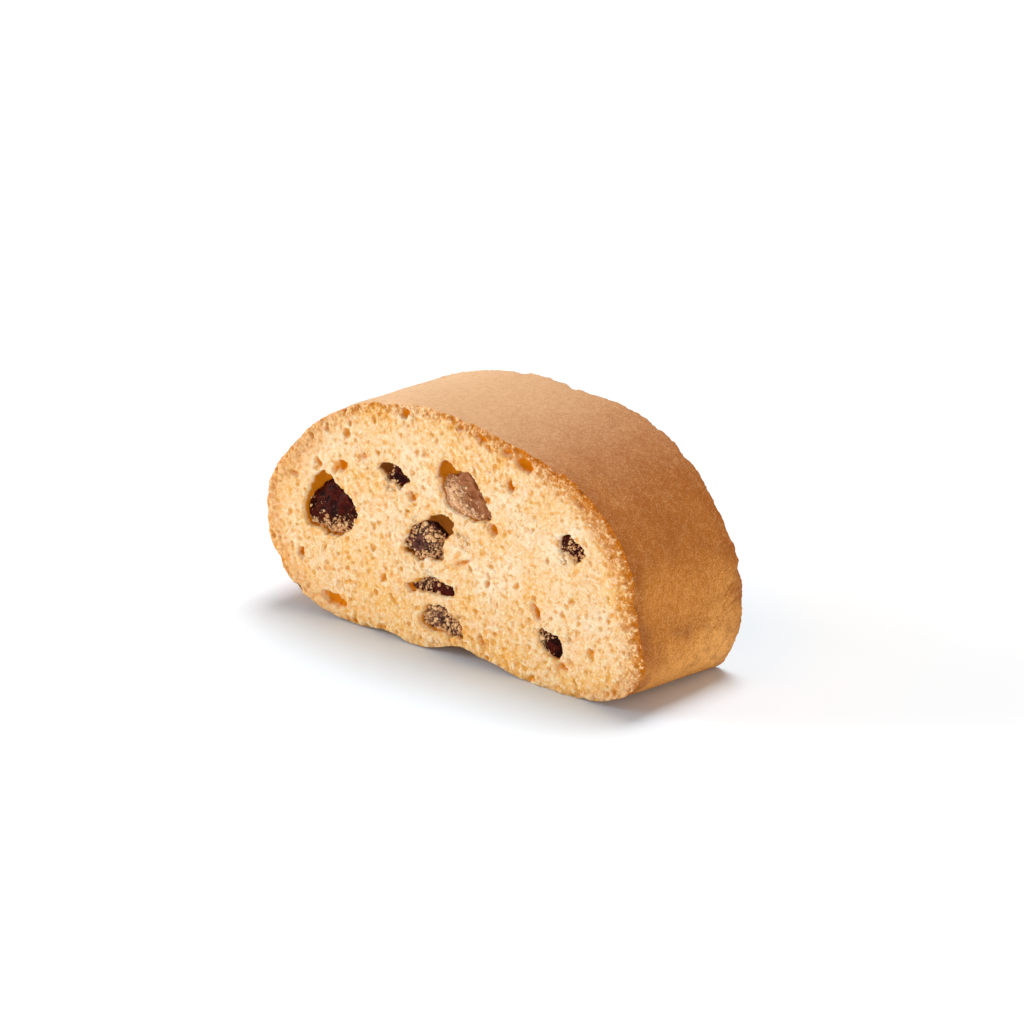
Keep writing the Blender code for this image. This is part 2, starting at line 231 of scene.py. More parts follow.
def smooth_loop(points: Array, steps: int) -> Array:
    """A closed curve through points: cubics whose slopes weigh the spans before and after.

    Args:
        points: the places that the curve passes, in order.
        steps: how many points it gets from each place to the next.

    Returns:
        The curve's points.
    """
    ahead, behind = np.roll(points, -1, axis=0), np.roll(points, 1, axis=0)
    span = np.linalg.norm(ahead - points, axis=1, keepdims=True)
    before = np.roll(span, 1, axis=0)
    slope = ((ahead - points) / span * before + (points - behind) / before * span) / (span + before)
    t = np.linspace(0, 1, steps, endpoint=False)[None, :, None]
    leaving = (slope * span)[:, None]
    arriving = (np.roll(slope, -1, axis=0) * span)[:, None]
    curve = (2 * t**3 - 3 * t**2 + 1) * points[:, None] + (3 * t**2 - 2 * t**3) * ahead[:, None]
    curve = curve + (t**3 - 2 * t**2 + t) * leaving + (t**3 - t**2) * arriving
    return curve.reshape(-1, 2)


def box_blur(grid: Array, reach: int) -> Array:
    """The mean over a square of cells round each cell, by sums of sums along both axes."""
    for axis in (0, 1):
        width = [(0, 0), (0, 0)]
        width[axis] = (reach + 1, reach)
        summed = np.cumsum(np.pad(grid, width, mode="edge"), axis=axis)
        size = grid.shape[axis]
        far = np.take(summed, np.arange(size) + 2 * reach + 1, axis=axis)
        near = np.take(summed, np.arange(size), axis=axis)
        grid = (far - near) / (2 * reach + 1)
    return grid


def quads(ids: Array) -> Array:
    """The four corners of each cell of a grid of vertex numbers."""
    corners = (ids[:-1, :-1], ids[1:, :-1], ids[1:, 1:], ids[:-1, 1:])
    return np.stack(corners, axis=-1).reshape(-1, 4)


def tube(ids: Array) -> Array:
    """The cells between rows of vertex numbers, each row closed on itself."""
    return quads(np.concatenate([ids, ids[:, :1]], axis=1))


def fan(ring: Array, hub: int, first: bool) -> Array:
    """Triangles from a hub to a closed row, turned to face away from the tube that it closes.

    Args:
        ring: the row's vertex numbers.
        hub: the vertex number of the middle.
        first: whether the row is the tube's first, and not its last.

    Returns:
        One row of three vertex numbers for each triangle.
    """
    ahead = np.roll(ring, -1)
    pair = (ring, ahead) if first else (ahead, ring)
    return np.stack([*pair, np.full(len(ring), hub)], axis=1)


def mesh_object(name: str, points: Array, faces: list[Array], flat: int = 0) -> bpy.types.Object:
    """A smooth-shaded mesh in the scene.

    Args:
        name: the object's name.
        points: its vertices in millimetres.
        faces: arrays of vertex numbers, one face a row, triangles or quads.
        flat: how many of the first face arrays are shaded flat. They come first, because
            the faces after them then give the shared vertices their normals.

    Returns:
        The new object, at the origin.
    """
    mesh = bpy.data.meshes.new(name)
    sizes = np.concatenate([np.full(len(part), part.shape[1]) for part in faces])
    mesh.vertices.add(len(points))
    mesh.vertices.foreach_set("co", (points * MM).astype(np.float32).ravel())
    mesh.loops.add(int(sizes.sum()))
    corners = np.concatenate([part.ravel() for part in faces])
    mesh.loops.foreach_set("vertex_index", corners.astype(np.int32))
    mesh.polygons.add(len(sizes))
    starts = np.concatenate([[0], np.cumsum(sizes)[:-1]])
    mesh.polygons.foreach_set("loop_start", starts.astype(np.int32))
    smooth = np.arange(len(sizes)) >= sum(len(part) for part in faces[:flat])
    mesh.polygons.foreach_set("use_smooth", smooth)
    mesh.update(calc_edges=True)
    mesh.validate()
    made = bpy.data.objects.new(name, mesh)
    bpy.context.scene.collection.objects.link(made)
    return made


def add_attributes(piece: bpy.types.Object, **values: Array) -> None:
    """Stores one number for each vertex under each name, where materials read them."""
    for name, numbers in values.items():
        stored = piece.data.attributes.new(name, "FLOAT", "POINT")
        stored.data.foreach_set("value", numbers.astype(np.float32))


# Raisins and pores, by their places on the cut faces.

Outline = tuple[tuple[float, float], ...]  # x and height of points round a closed shape
OVAL_POINTS = 14
OUTLINE_STEPS = 6  # short sides that an outline is drawn with between two of its points


def oval(x: float, height: float, half_length: float, half_height: float, tilt: float) -> Outline:
    """An uneven oval: an ellipse whose radius swells by 6% three times round and by 5% five times."""
    turn = math.radians(tilt)
    points = []
    for angle in np.linspace(0, 2 * math.pi, OVAL_POINTS, endpoint=False):
        radius = 1 + 0.06 * math.sin(3 * angle + x) + 0.05 * math.sin(5 * angle + 2 * height)
        along, across = half_length * radius * math.cos(angle), half_height * radius * math.sin(angle)
        point_x = x + along * math.cos(turn) - across * math.sin(turn)
        point_height = height + along * math.sin(turn) + across * math.cos(turn)
        points.append((point_x, point_height))
    return tuple(points)


def inside_distance(outline: Outline, x: Array, z: Array, margin: float = 1.0) -> Array:
    """How far inside a smooth closed outline each place is, negative outside.

    The distance is that to the nearest side of the outline, drawn as short straight sides. A place
    is inside if a level line from it crosses an odd number of sides.

    Args:
        outline: the points that the outline passes.
        x: places along the slice.
        z: their heights.
        margin: places further outside than this get minus this.

    Returns:
        The distance in millimetres.
    """
    loop = smooth_loop(np.array(outline), OUTLINE_STEPS)
    found = np.full(x.shape, -margin)
    low, high = loop.min(axis=0) - margin, loop.max(axis=0) + margin
    near = (x > low[0]) & (x < high[0]) & (z > low[1]) & (z < high[1])
    places = np.stack([x[near], z[near]], axis=1)[:, None]
    start, end = loop[None], np.roll(loop, -1, axis=0)[None]
    side = end - start
    along = np.clip(((places - start) * side).sum(-1) / (side**2).sum(-1), 0, 1)
    gap = np.linalg.norm(places - start - side * along[..., None], axis=-1).min(axis=1)
    spans = (start[..., 1] > places[..., 1]) != (end[..., 1] > places[..., 1])
    rise = np.where(side[..., 1] == 0, 1e-9, side[..., 1])
    crossing = start[..., 0] + (places[..., 1] - start[..., 1]) * side[..., 0] / rise
    inside = (spans & (places[..., 0] < crossing)).sum(axis=1) % 2 == 1
    found[near] = np.maximum(np.where(inside, gap, -gap), -margin)
    return found


def bowl(distance: Array, reach: float, deepest: float) -> Array:
    """A hollow's depth: a quarter ellipse from its rim inwards, level beyond its reach."""
    step = 1 - np.clip(distance / reach, 0, 1)
    return deepest * np.sqrt(1 - step**2)


class Skin(Enum):
    """How a raisin's flesh looks."""

    DARK = "dark"
    BROWN = "brown"
    PURPLE = "purple"


@dataclass(frozen=True)
class Raisin:
    """A raisin at a cut face, in millimetres, and the pocket that it lies in."""

    name: str
    outline: Outline  # what shows of it at the cut
    openings: tuple[Outline, ...]  # the pocket's mouth
    half_depth: float
    recess: float = 0.4  # its front lies this far behind the cut
    hollow_depth: float = 1.8  # of the pocket beside it
    skin: Skin = Skin.DARK
    crumbs: int = 60
    crumbs_towards: tuple[float, float] = (-0.4, -1.0)  # the side that crumbs cling to
    stain: float = 0.0  # how dark brown its pocket turns deep inside
    middle_share: float = 0.55  # of the half depth that its middle lies behind the cut
    least_front: float = 0.75  # from its middle to its front

    def middle(self) -> float:
        """How far its middle lies behind the cut."""
        return max(self.half_depth * self.middle_share, self.recess + self.least_front)


NEAR_RAISINS = (
    Raisin(
        "raisin_left",
        (
            (-22.0, 21.4), (-23.4, 20.8), (-24.7, 19.7), (-26.1, 18.4), (-27.3, 16.9), (-27.1, 15.2),
            (-26.4, 14.1), (-24.8, 13.7), (-23.1, 13.1), (-21.5, 13.2), (-19.8, 14.1), (-18.4, 15.3),
            (-17.6, 17.7), (-18.2, 19.1), (-18.9, 20.1), (-20.1, 20.3),
        ),
        ((
            (-23.4, 22.6), (-25.8, 21.5), (-26.7, 19.7), (-27.5, 18.0), (-28.1, 16.1), (-27.8, 14.5),
            (-27.1, 13.6), (-24.8, 13.6), (-23.1, 13.0), (-21.5, 13.1), (-19.8, 14.1), (-18.4, 15.3),
            (-17.6, 17.7), (-18.2, 19.1), (-18.9, 20.1), (-20.1, 20.3), (-21.7, 21.2), (-22.5, 22.0),
        ),),
        3.0, 0.75, 2.2, Skin.DARK, 260, (0.15, -0.9), 0.1,
    ),
    Raisin(
        "raisin_upper",
        (
            (-10.0, 26.5), (-9.4, 26.7), (-8.7, 26.1), (-7.8, 25.5), (-7.1, 24.9), (-8.4, 24.0),
            (-9.1, 23.3), (-10.2, 24.0), (-11.9, 24.1), (-12.1, 24.8), (-10.9, 25.4),
        ),
        ((
            (-13.5, 25.4), (-12.7, 26.4), (-10.7, 27.0), (-9.5, 26.7), (-8.7, 26.1), (-7.8, 25.5),
            (-7.1, 24.9), (-8.4, 24.0), (-9.1, 23.3), (-9.9, 24.2), (-10.7, 24.3), (-11.9, 24.1),
            (-12.3, 24.9), (-12.8, 25.3),
        ),),
        1.7, 0.4, 1.6, Skin.DARK, 44, (-0.5, -0.6), 1.0,
    ),
    Raisin(
        "raisin_crown",
        (
            (2.4, 28.4), (4.2, 28.6), (5.4, 27.9), (6.1, 26.4), (7.1, 24.9), (8.1, 23.9), (7.9, 22.9),
            (6.1, 22.1), (4.0, 21.9), (2.3, 22.2), (0.8, 22.6), (-0.5, 23.3), (-0.8, 24.7), (-0.8, 26.2),
            (0.7, 27.4),
        ),
        ((
            (-0.5, 29.9), (0.5, 29.5), (1.4, 28.8), (2.7, 28.7), (4.2, 28.7), (5.4, 27.9), (6.1, 26.4),
            (7.1, 24.9), (8.1, 23.9), (7.9, 22.9), (6.1, 22.1), (4.0, 21.9), (2.3, 22.2), (0.8, 22.6),
            (-0.5, 23.3), (-1.4, 24.5), (-2.0, 26.2), (-1.9, 28.8),
        ),),
        2.6, 0.4, 1.5, Skin.BROWN, 170, (-0.5, -0.6), 0.35,
    ),
    Raisin(
        "raisin_middle",
        (
            (-8.3, 16.0), (-7.5, 17.4), (-6.5, 18.7), (-5.1, 19.3), (-3.9, 19.4), (-2.3, 18.4),
            (-1.0, 17.6), (-0.9, 16.1), (-1.1, 14.6), (-2.1, 14.2), (-3.5, 14.3), (-5.0, 13.7),
            (-6.0, 13.9), (-6.6, 14.8), (-8.0, 15.0),
        ),
        ((
            (-8.8, 14.6), (-8.4, 16.0), (-7.5, 17.5), (-6.5, 18.8), (-5.1, 19.4), (-4.3, 19.9),
            (-3.0, 20.9), (-1.2, 21.4), (0.1, 21.0), (1.0, 19.7), (0.5, 18.4), (-0.7, 17.6), (-0.9, 16.1),
            (-1.1, 14.5), (-2.1, 14.1), (-3.5, 14.2), (-5.0, 13.5), (-6.2, 13.4), (-7.6, 13.9),
        ),),
        2.5, 0.3, 2.0, Skin.PURPLE, 280, (0.35, 0.1), 0.85,
    ),
    Raisin(
        "raisin_thin",
        (
            (-6.6, 9.6), (-5.7, 10.5), (-4.3, 11.1), (-2.6, 11.3), (-0.9, 11.1), (0.5, 10.7), (1.1, 10.1),
            (0.9, 9.4), (-0.7, 9.0), (-2.4, 8.9), (-4.0, 8.9), (-5.8, 8.6),
        ),
        ((
            (-8.6, 8.9), (-7.6, 9.5), (-6.6, 9.7), (-5.7, 10.5), (-4.3, 11.1), (-2.6, 11.3), (-0.9, 11.1),
            (0.5, 10.7), (1.1, 10.1), (0.9, 9.4), (-0.7, 9.0), (-2.4, 8.9), (-4.0, 8.9), (-5.8, 8.5),
            (-7.5, 8.3),
        ),),
        1.6, 0.4, 1.4, Skin.DARK, 44, (-0.3, 0.25), 0.1,
    ),
    Raisin(
        "raisin_low",
        (
            (-4.7, 5.4), (-3.8, 6.6), (-2.1, 7.4), (-0.7, 7.4), (0.2, 6.7), (1.6, 6.1), (2.5, 5.1),
            (2.3, 3.3), (0.9, 3.3), (-0.7, 3.7), (-2.6, 3.8), (-4.3, 4.3),
        ),
        ((
            (-5.0, 6.2), (-4.3, 6.9), (-3.4, 7.0), (-2.1, 7.4), (-0.7, 7.4), (0.3, 6.7), (1.6, 6.2),
            (2.5, 5.1), (2.3, 3.3), (0.9, 3.2), (-1.0, 3.2), (-2.4, 3.1), (-4.3, 3.3), (-5.6, 3.9),
            (-5.7, 5.0),
        ),),
        1.9, 0.35, 1.5, Skin.PURPLE, 230, (0.0, 0.0), 0.05,
    ),
    Raisin(
        "raisin_right",
        (
            (20.4, 23.2), (20.9, 23.7), (22.5, 23.7), (23.8, 23.0), (25.1, 21.6), (24.1, 20.8),
            (23.4, 20.1), (22.8, 20.2), (22.4, 21.0), (21.4, 21.2), (20.6, 21.4), (20.5, 22.4),
        ),
        ((
            (20.3, 23.3), (20.9, 23.8), (22.5, 23.7), (23.8, 23.0), (25.2, 21.6), (24.1, 20.8),
            (23.4, 20.0), (22.7, 20.1), (22.3, 20.9), (21.4, 21.0), (20.4, 21.1), (20.3, 22.3),
        ),),
        1.6, 0.4, 1.2, Skin.DARK, 70, (-0.1, -0.2), 0.5,
    ),
    Raisin(
        "raisin_corner",
        (
            (16.6, 8.4), (17.2, 8.8), (18.8, 8.6), (19.8, 8.5), (20.5, 7.7), (20.9, 6.6), (20.1, 4.8),
            (18.9, 5.1), (17.9, 5.6), (17.1, 6.4), (16.6, 7.4),
        ),
        ((
            (16.5, 8.5), (17.2, 8.9), (18.8, 8.7), (19.8, 8.6), (20.6, 7.7), (21.0, 6.6), (20.2, 4.7),
            (18.9, 5.0), (17.8, 5.4), (17.0, 6.3), (16.5, 7.4),
        ),),
        1.7, 0.4, 1.2, Skin.DARK, 60, (-0.6, 0.1), 0.3,
    ),
)


def far_raisin(name: str, fruit: tuple[float, ...], hollow: tuple[float, ...], *looks: object) -> Raisin:
    """A raisin at the far cut: an oval, whose pocket is itself joined with a smaller oval.

    Args:
        name: its name in the frame.
        fruit: its oval's middle, half sizes and tilt.
        hollow: those of the pocket's air.
        looks: the rest of what a Raisin holds, in order.

    Returns:
        The raisin.
    """
    shape = oval(*fruit)
    return Raisin(name, shape, (shape, oval(*hollow)), *looks)


FAR_RAISINS = (
    far_raisin(
        "raisin_far_left", (-23.5, 12.6, 3.8, 2.7, 20.0), (-24.6, 15.0, 2.6, 1.7, 0.0),
        2.3, 0.5, 1.8, Skin.DARK, 60, (0.3, -1.0),
    ),
    far_raisin(
        "raisin_far_crown", (-13.0, 25.4, 4.3, 2.9, -25.0), (-10.6, 27.4, 2.2, 1.6, 0.0),
        2.5, 0.4, 1.8, Skin.PURPLE, 160, (0.3, -0.2), 0.5,
    ),
    far_raisin(
        "raisin_far_middle", (-2.5, 12.4, 4.6, 3.0, 10.0), (-3.4, 15.0, 2.8, 1.7, 0.0),
        2.6, 0.4, 1.8, Skin.DARK, 110, (0.2, -1.0), 0.3,
    ),
    far_raisin(
        "raisin_far_upper", (7.4, 27.2, 3.0, 2.2, 40.0), (5.2, 27.6, 1.6, 1.3, 0.0),
        1.9, 0.5, 1.5, Skin.DARK, 46, (-0.4, -1.0), 0.5,
    ),
    far_raisin(
        "raisin_far_right", (15.0, 15.4, 4.1, 2.7, -15.0), (17.4, 17.2, 2.0, 1.4, 0.0),
        2.3, 0.3, 1.6, Skin.BROWN, 110, (0.1, -0.6), 0.2,
    ),
    far_raisin(
        "raisin_far_corner", (25.6, 7.8, 2.6, 2.0, 30.0), (24.4, 9.4, 1.4, 1.0, 0.0),
        1.7, 0.4, 1.2, Skin.DARK, 40, (-0.8, 0.0), 0.1,
    ),
)

# Larger pores at the near cut: x, height, half width, half height, tilt in degrees.
NEAR_PORES = (
    (14.2, 32.3, 1.9, 1.0, -4.0), (2.1, 35.2, 0.8, 0.6, 0.0), (6.0, 34.4, 1.4, 0.7, -13.0),
    (10.7, 33.4, 1.0, 0.6, 0.0), (8.3, 21.4, 0.9, 1.0, 0.0), (11.4, 28.7, 0.9, 1.2, 20.0),
    (16.0, 11.1, 1.7, 0.8, -62.0), (2.4, 15.0, 2.7, 0.6, 20.0), (-22.2, 3.2, 2.8, 0.95, -8.0),
    (-20.4, 24.3, 1.4, 1.0, 20.0), (-16.1, 26.7, 0.9, 0.6, 0.0), (-28.7, 8.9, 0.8, 1.1, 15.0),
    (-29.8, 20.9, 0.9, 0.6, -20.0), (-6.9, 22.6, 0.7, 1.0, 0.0), (20.9, 4.0, 1.4, 0.7, -7.0),
    (24.1, 29.0, 1.4, 0.6, -25.0), (6.1, 4.0, 1.3, 0.6, -63.0), (22.2, 8.4, 0.7, 0.5, 10.0),
)
# Crumb that a torn raisin has coloured, at the near cut: x, height, reach.
NEAR_SMEARS = (
    (3.1, 18.4, 0.9), (1.9, 19.0, 0.6), (21.4, 20.2, 0.9), (20.2, 22.4, 0.5), (2.0, 6.5, 0.6),
    (-11.2, 23.2, 0.8), (-3.9, 11.6, 0.7), (7.0, 22.0, 0.6), (-6.2, 19.4, 0.6),
)
# The same at the far cut, which the photo doesn't show.
FAR_PORES = (
    (-28.4, 18.2, 0.9, 0.6, 25.0), (-19.6, 20.9, 1.5, 0.7, -12.0), (-17.8, 7.4, 1.2, 0.6, 30.0),
    (-8.3, 20.1, 1.0, 0.9, 0.0), (-5.2, 31.9, 1.7, 0.6, 8.0), (1.4, 21.6, 0.8, 1.0, 0.0),
    (5.1, 7.2, 1.6, 0.6, -35.0), (11.3, 22.9, 1.2, 0.6, 50.0), (14.6, 31.1, 1.3, 0.6, -20.0),
    (20.7, 24.6, 0.9, 0.7, 0.0), (23.8, 15.3, 0.8, 1.1, 15.0), (28.9, 20.4, 0.7, 0.9, 0.0),
)
FAR_SMEARS = (
    (-19.0, 24.0, 0.8), (1.6, 10.4, 0.9), (10.6, 25.0, 0.6), (19.6, 13.5, 0.6), (-27.8, 11.0, 0.7),
)


@dataclass(frozen=True)
class CutFace:
    """The relief of one cut face: how far each place lies behind the plane of the cut."""

    side: int
    raisins: tuple[Raisin, ...]
    pores: tuple[tuple[float, ...], ...]
    smears: tuple[tuple[float, float, float], ...]
    seed: int
    hollow_reach: float = 1.0  # how far in from its mouth a pocket's wall curves
    fruit_reach: float = 0.5  # the same where the raisin itself lies
    behind_fruit: float = 0.8  # of the raisin's half depth, how far its pocket goes past its middle
    stain_reach: float = 0.15
    pore_depth: float = 1.35  # of the smaller of a pore's half sizes
    pore_steepness: float = 0.65
    noise_plane: float = 50.0  # where the noises are drawn, so that the two cuts differ
    waver: float = 0.28  # how far the rims of pockets and pores stray
    waver_length: float = 1.3
    ragged: float = 0.14  # the same, over shorter lengths
    ragged_length: float = 0.6
    fine_grain: float = 0.09
    fine_length: float = 0.9
    grain_stray: float = 1.5  # of the rims' own straying
    rough_rim: float = 0.9  # how much rougher the crumb is at the crust
    rough_reach: float = 1.4
    smooth_from: float = 0.9  # pockets deeper than this have smooth walls
    smoothness: float = 0.85
    swell: float = 0.16
    swell_length: float = 9.0
    chips: float = 0.9
    chip_length: float = 1.7
    chips_above: float = 0.1  # in terms of their noise
    rim_drop: float = 0.18  # how much the face falls away at the crust
    rim_reach: float = 0.6
    level: float = 0.42  # taken off the whole relief, so that its high places lie at the cut
    highest: float = -0.12  # the depth above which nothing stands out

    def foams(self) -> tuple[Foam, ...]:
        """The sizes of bubble that the crumb holds, from large to small."""
        return (
            Foam(4.4, 0.26, (0.1, 0.25), (0.5, 0.9), 1.0, self.seed),
            Foam(2.1, 0.34, (0.16, 0.34), (0.5, 0.95), 0.8, self.seed + 1),
            Foam(0.95, 0.5, (0.22, 0.46), (0.5, 1.0), 0.75, self.seed + 2),
        )

    def grains(self) -> tuple[Grains, ...]:
        """The sizes of grain that the torn crumb is made of."""
        return Grains(1.0, 0.12, 0.09, self.seed + 4), Grains(0.5, 0.4, 0.38, self.seed + 5)

    def pockets(self, x: Array, z: Array) -> tuple[Array, Array]:
        """Depth of the raisins' pockets, the air in them and the larger pores, and how darkened they are.

        Args:
            x: places along the slice.
            z: their heights.

        Returns:
            The depth, and the darkening from 0 to 1.
        """
        depth, stain = np.zeros(x.shape), np.zeros(x.shape)
        for raisin in self.raisins:
            mouth = np.maximum.reduce([inside_distance(opening, x, z) for opening in raisin.openings])
            fruit = inside_distance(raisin.outline, x, z)
            depth = np.maximum(depth, bowl(mouth, self.hollow_reach, raisin.hollow_depth))
            deepest = raisin.middle() + raisin.half_depth * self.behind_fruit
            depth = np.maximum(depth, bowl(fruit, self.fruit_reach, deepest))
            darkened = np.clip(mouth / self.stain_reach, 0, 1)
            stain = np.maximum(stain, darkened * raisin.stain)
        for pore_x, height, half_width, half_height, tilt in self.pores:
            away_x, away_z, halves = x - pore_x, z - height, (half_width, half_height)
            inside = in_ellipse(away_x, away_z, halves, math.radians(tilt)) ** self.pore_steepness
            depth = np.maximum(depth, self.pore_depth * min(halves) * inside)
        return depth, stain

    def smeared(self, x: Array, z: Array) -> Array:
        """From 0 to 1, how near each place is to the middle of a smear, by a bell curve."""
        spots = [np.exp(-((x - at) ** 2 + (z - height) ** 2) / reach**2) for at, height, reach in self.smears]
        return np.maximum.reduce([np.zeros(x.shape), *spots])

    def relief(self, x: Array, z: Array, from_rim: Array) -> tuple[Array, Array, Array]:
        """How far each place lies behind the cut, how darkened it is, and what of the depth is texture.

        The rims of pockets stray by noise. Foam and grains roughen what lies outside
        the pockets, most of all near the crust, and the face swells slowly.

        Args:
            x: places along the slice.
            z: their heights.
            from_rim: their distance from the crust.

        Returns:
            The depth in millimetres, the darkening from 0 to 1, and the depth of pits and grains alone.
        """
        flat = np.stack([x, np.full(x.shape, self.side * self.noise_plane), z], axis=-1)
        stray = []
        for k in (11, 21):
            slow = layered_noise(flat, self.waver_length, 3, self.seed + k) * self.waver
            stray.append(slow + gradient_noise(flat, self.ragged_length, self.seed + k + 4) * self.ragged)
        depth, stain = self.pockets(x + stray[0], z + stray[1])
        crumbly = np.maximum.reduce([foam.depths(x + stray[0], z + stray[1]) for foam in self.foams()])
        grain = layered_noise(flat, self.fine_length, 3, self.seed + 31) * self.fine_grain
        at_x, at_z = x + self.grain_stray * stray[1], z + self.grain_stray * stray[0]
        grain = grain + sum(kind.depths(at_x, at_z) for kind in self.grains())
        grain = grain * (1 + self.rough_rim * np.exp(-from_rim / self.rough_reach))
        open_crumb = 1 - np.clip(depth / self.smooth_from, 0, self.smoothness)
        swell = (gradient_noise(flat, self.swell_length, self.seed + 41) + 1) * self.swell
        chipped = gradient_noise(flat, self.chip_length, self.seed + 51) - self.chips_above
        rim = (self.rim_drop + np.clip(chipped, 0, 1) * self.chips) * np.exp(-from_rim / self.rim_reach)
        texture = crumbly * open_crumb + grain * (1 - self.smoothness + self.smoothness * open_crumb)
        return np.maximum(depth + texture + swell + rim - self.level, self.highest), stain, texture


@dataclass
class Slice:
    """The slice's crust and crumb, as three closed pieces that meet at hidden planes."""

    inside: bpy.types.Material  # of the cut faces
    outside: bpy.types.Material
    cells_along: int = 384
    cells_up: int = 192
    levels: int = 5  # the grids on a cut face are evened from coarse to fine
    samples_per_span: int = 160
    joint_depth: float = 2.6  # the middle piece begins this far behind each cut
    fine_row: float = 0.19
    tuck: float = 0.9998  # the size of the row that runs under the next piece
    middle_rows: int = 78
    evenings: tuple[int, int] = (400, 60)  # of the coarsest grid on a cut face, and of each finer one
    rim_gap: float = 0.02  # taken off the crust's distance from the cut, so that it is never 0
    setback_limits: tuple[float, float] = (-0.1, 0.7)
    setback_shares: tuple[float, float] = (0.25, 0.6)  # of a rim point's own relief, and the evened one
    rim_evening: int = 6  # rim points each way
    slope_reach: int = 6
    cavity_cells: int = 5  # a pit is what lies deeper than the mean this many cells round it
    hollows_fade_at: float = 3.0
    crust_swell: float = 0.3
    crust_sink: float = 0.1  # in terms of the swell's noise
    dent: float = -0.12
    wrinkle: float = 0.045
    wrinkle_squash: tuple[float, float, float] = (1.0, 0.6, 1.0)  # longer across the slice
    chip: float = 0.9
    chips_above: float = 0.22  # in terms of their noise
    chip_reach: float = 0.9  # from the cuts
    ragged: float = 0.12
    ragged_out: float = 0.4  # in terms of its noise
    ragged_reach: float = 0.5
    crease_stray: float = 0.5
    creased_from: float = 20.0  # the x beyond which the crust has its creases
    # The outline, anticlockwise: x and height of each point at the near cut, then at the far cut.
    section: tuple[tuple[float, float, float, float], ...] = (
        (12.0, 0.0, 12.0, 0.0),
        (24.0, 0.0, 25.0, 0.0),
        (29.8, 1.4, 31.9, 0.5),
        (33.7, 3.9, 34.2, 3.9),
        (35.5, 7.4, 35.5, 7.6),
        (34.3, 14.0, 35.8, 12.2),
        (33.0, 21.0, 34.4, 18.6),
        (29.5, 26.9, 31.2, 24.2),
        (23.6, 31.6, 26.2, 29.8),
        (14.7, 34.0, 16.6, 34.8),
        (4.8, 36.0, 6.5, 36.1),
        (-5.5, 36.7, -3.5, 36.4),
        (-14.1, 35.3, -13.0, 34.8),
        (-22.4, 31.8, -21.8, 31.4),
        (-29.3, 26.2, -28.8, 25.8),
        (-34.2, 20.0, -33.9, 19.6),
        (-35.7, 13.8, -35.2, 13.4),
        (-34.4, 7.8, -33.6, 7.4),
        (-30.3, 3.1, -29.4, 3.0),
        (-23.8, 0.7, -24.0, 0.7),
        (-16.5, 0.0, -18.0, 0.0),
        (-3.0, 0.0, -3.0, 0.0),
    )
    corners: tuple[int, int, int, int] = (3, 8, 14, 18)  # low right, high right, high left, low left
    # Hollows of the bottom: x and y of the middle, reach along and across, depth.
    bottom_hollows: tuple[tuple[float, ...], ...] = (
        (1.9, -11.0, 4.6, 8.0, 1.9),
        (-12.0, -11.0, 3.6, 6.0, 0.8),
        (8.6, -11.0, 3.4, 5.0, 0.8),
        (-24.0, -2.0, 7.0, 7.0, 0.9),
        (-9.0, 6.0, 6.0, 4.0, 0.7),
        (14.0, 11.0, 6.0, 4.5, 0.9),
    )
    # Creases in the crust's right end: y and height of both ends.
    creases: tuple[tuple[float, float, float, float], ...] = (
        (4.6, 9.3, 7.4, 11.6),
        (6.6, 12.6, 8.9, 14.3),
        (7.2, 11.2, 9.6, 12.0),
    )
    crease_depth: float = 0.3
    crease_width: float = 0.2
    pieces: list[bpy.types.Object] = field(default_factory=list)

    def outline(self, place: float) -> Array:
        """The evenly spaced outline at one place across the slice, anticlockwise from low left."""
        table = np.array(self.section)
        loop = smooth_loop(table[:, :2] * (1 - place) + table[:, 2:] * place, self.samples_per_span)
        low_right, high_right, high_left, low_left = self.corners
        stretches = (
            (low_left, low_right + len(table), self.cells_along),
            (low_right, high_right, self.cells_up),
            (high_right, high_left, self.cells_along),
            (high_left, low_left, self.cells_up),
        )
        found = []
        for first, last, cells in stretches:
            span = np.arange(first * self.samples_per_span, last * self.samples_per_span + 1)
            run = loop[span % len(loop)]
            walked = np.concatenate([[0], np.cumsum(np.linalg.norm(np.diff(run, axis=0), axis=1))])
            even = np.linspace(0, walked[-1], cells + 1)[:-1]
            found.append(np.stack([np.interp(even, walked, run[:, axis]) for axis in range(2)], axis=1))
        return np.concatenate(found)

    def row_places(self) -> Array:
        """The y of each row of the crust, close together near both cuts."""
        half = THICKNESS / 2
        fine = np.arange(0, self.joint_depth, self.fine_row)
        near = -half + fine
        middle = np.linspace(-half + self.joint_depth, half - self.joint_depth, self.middle_rows + 1)
        return np.concatenate([near, middle, half - fine[::-1]])

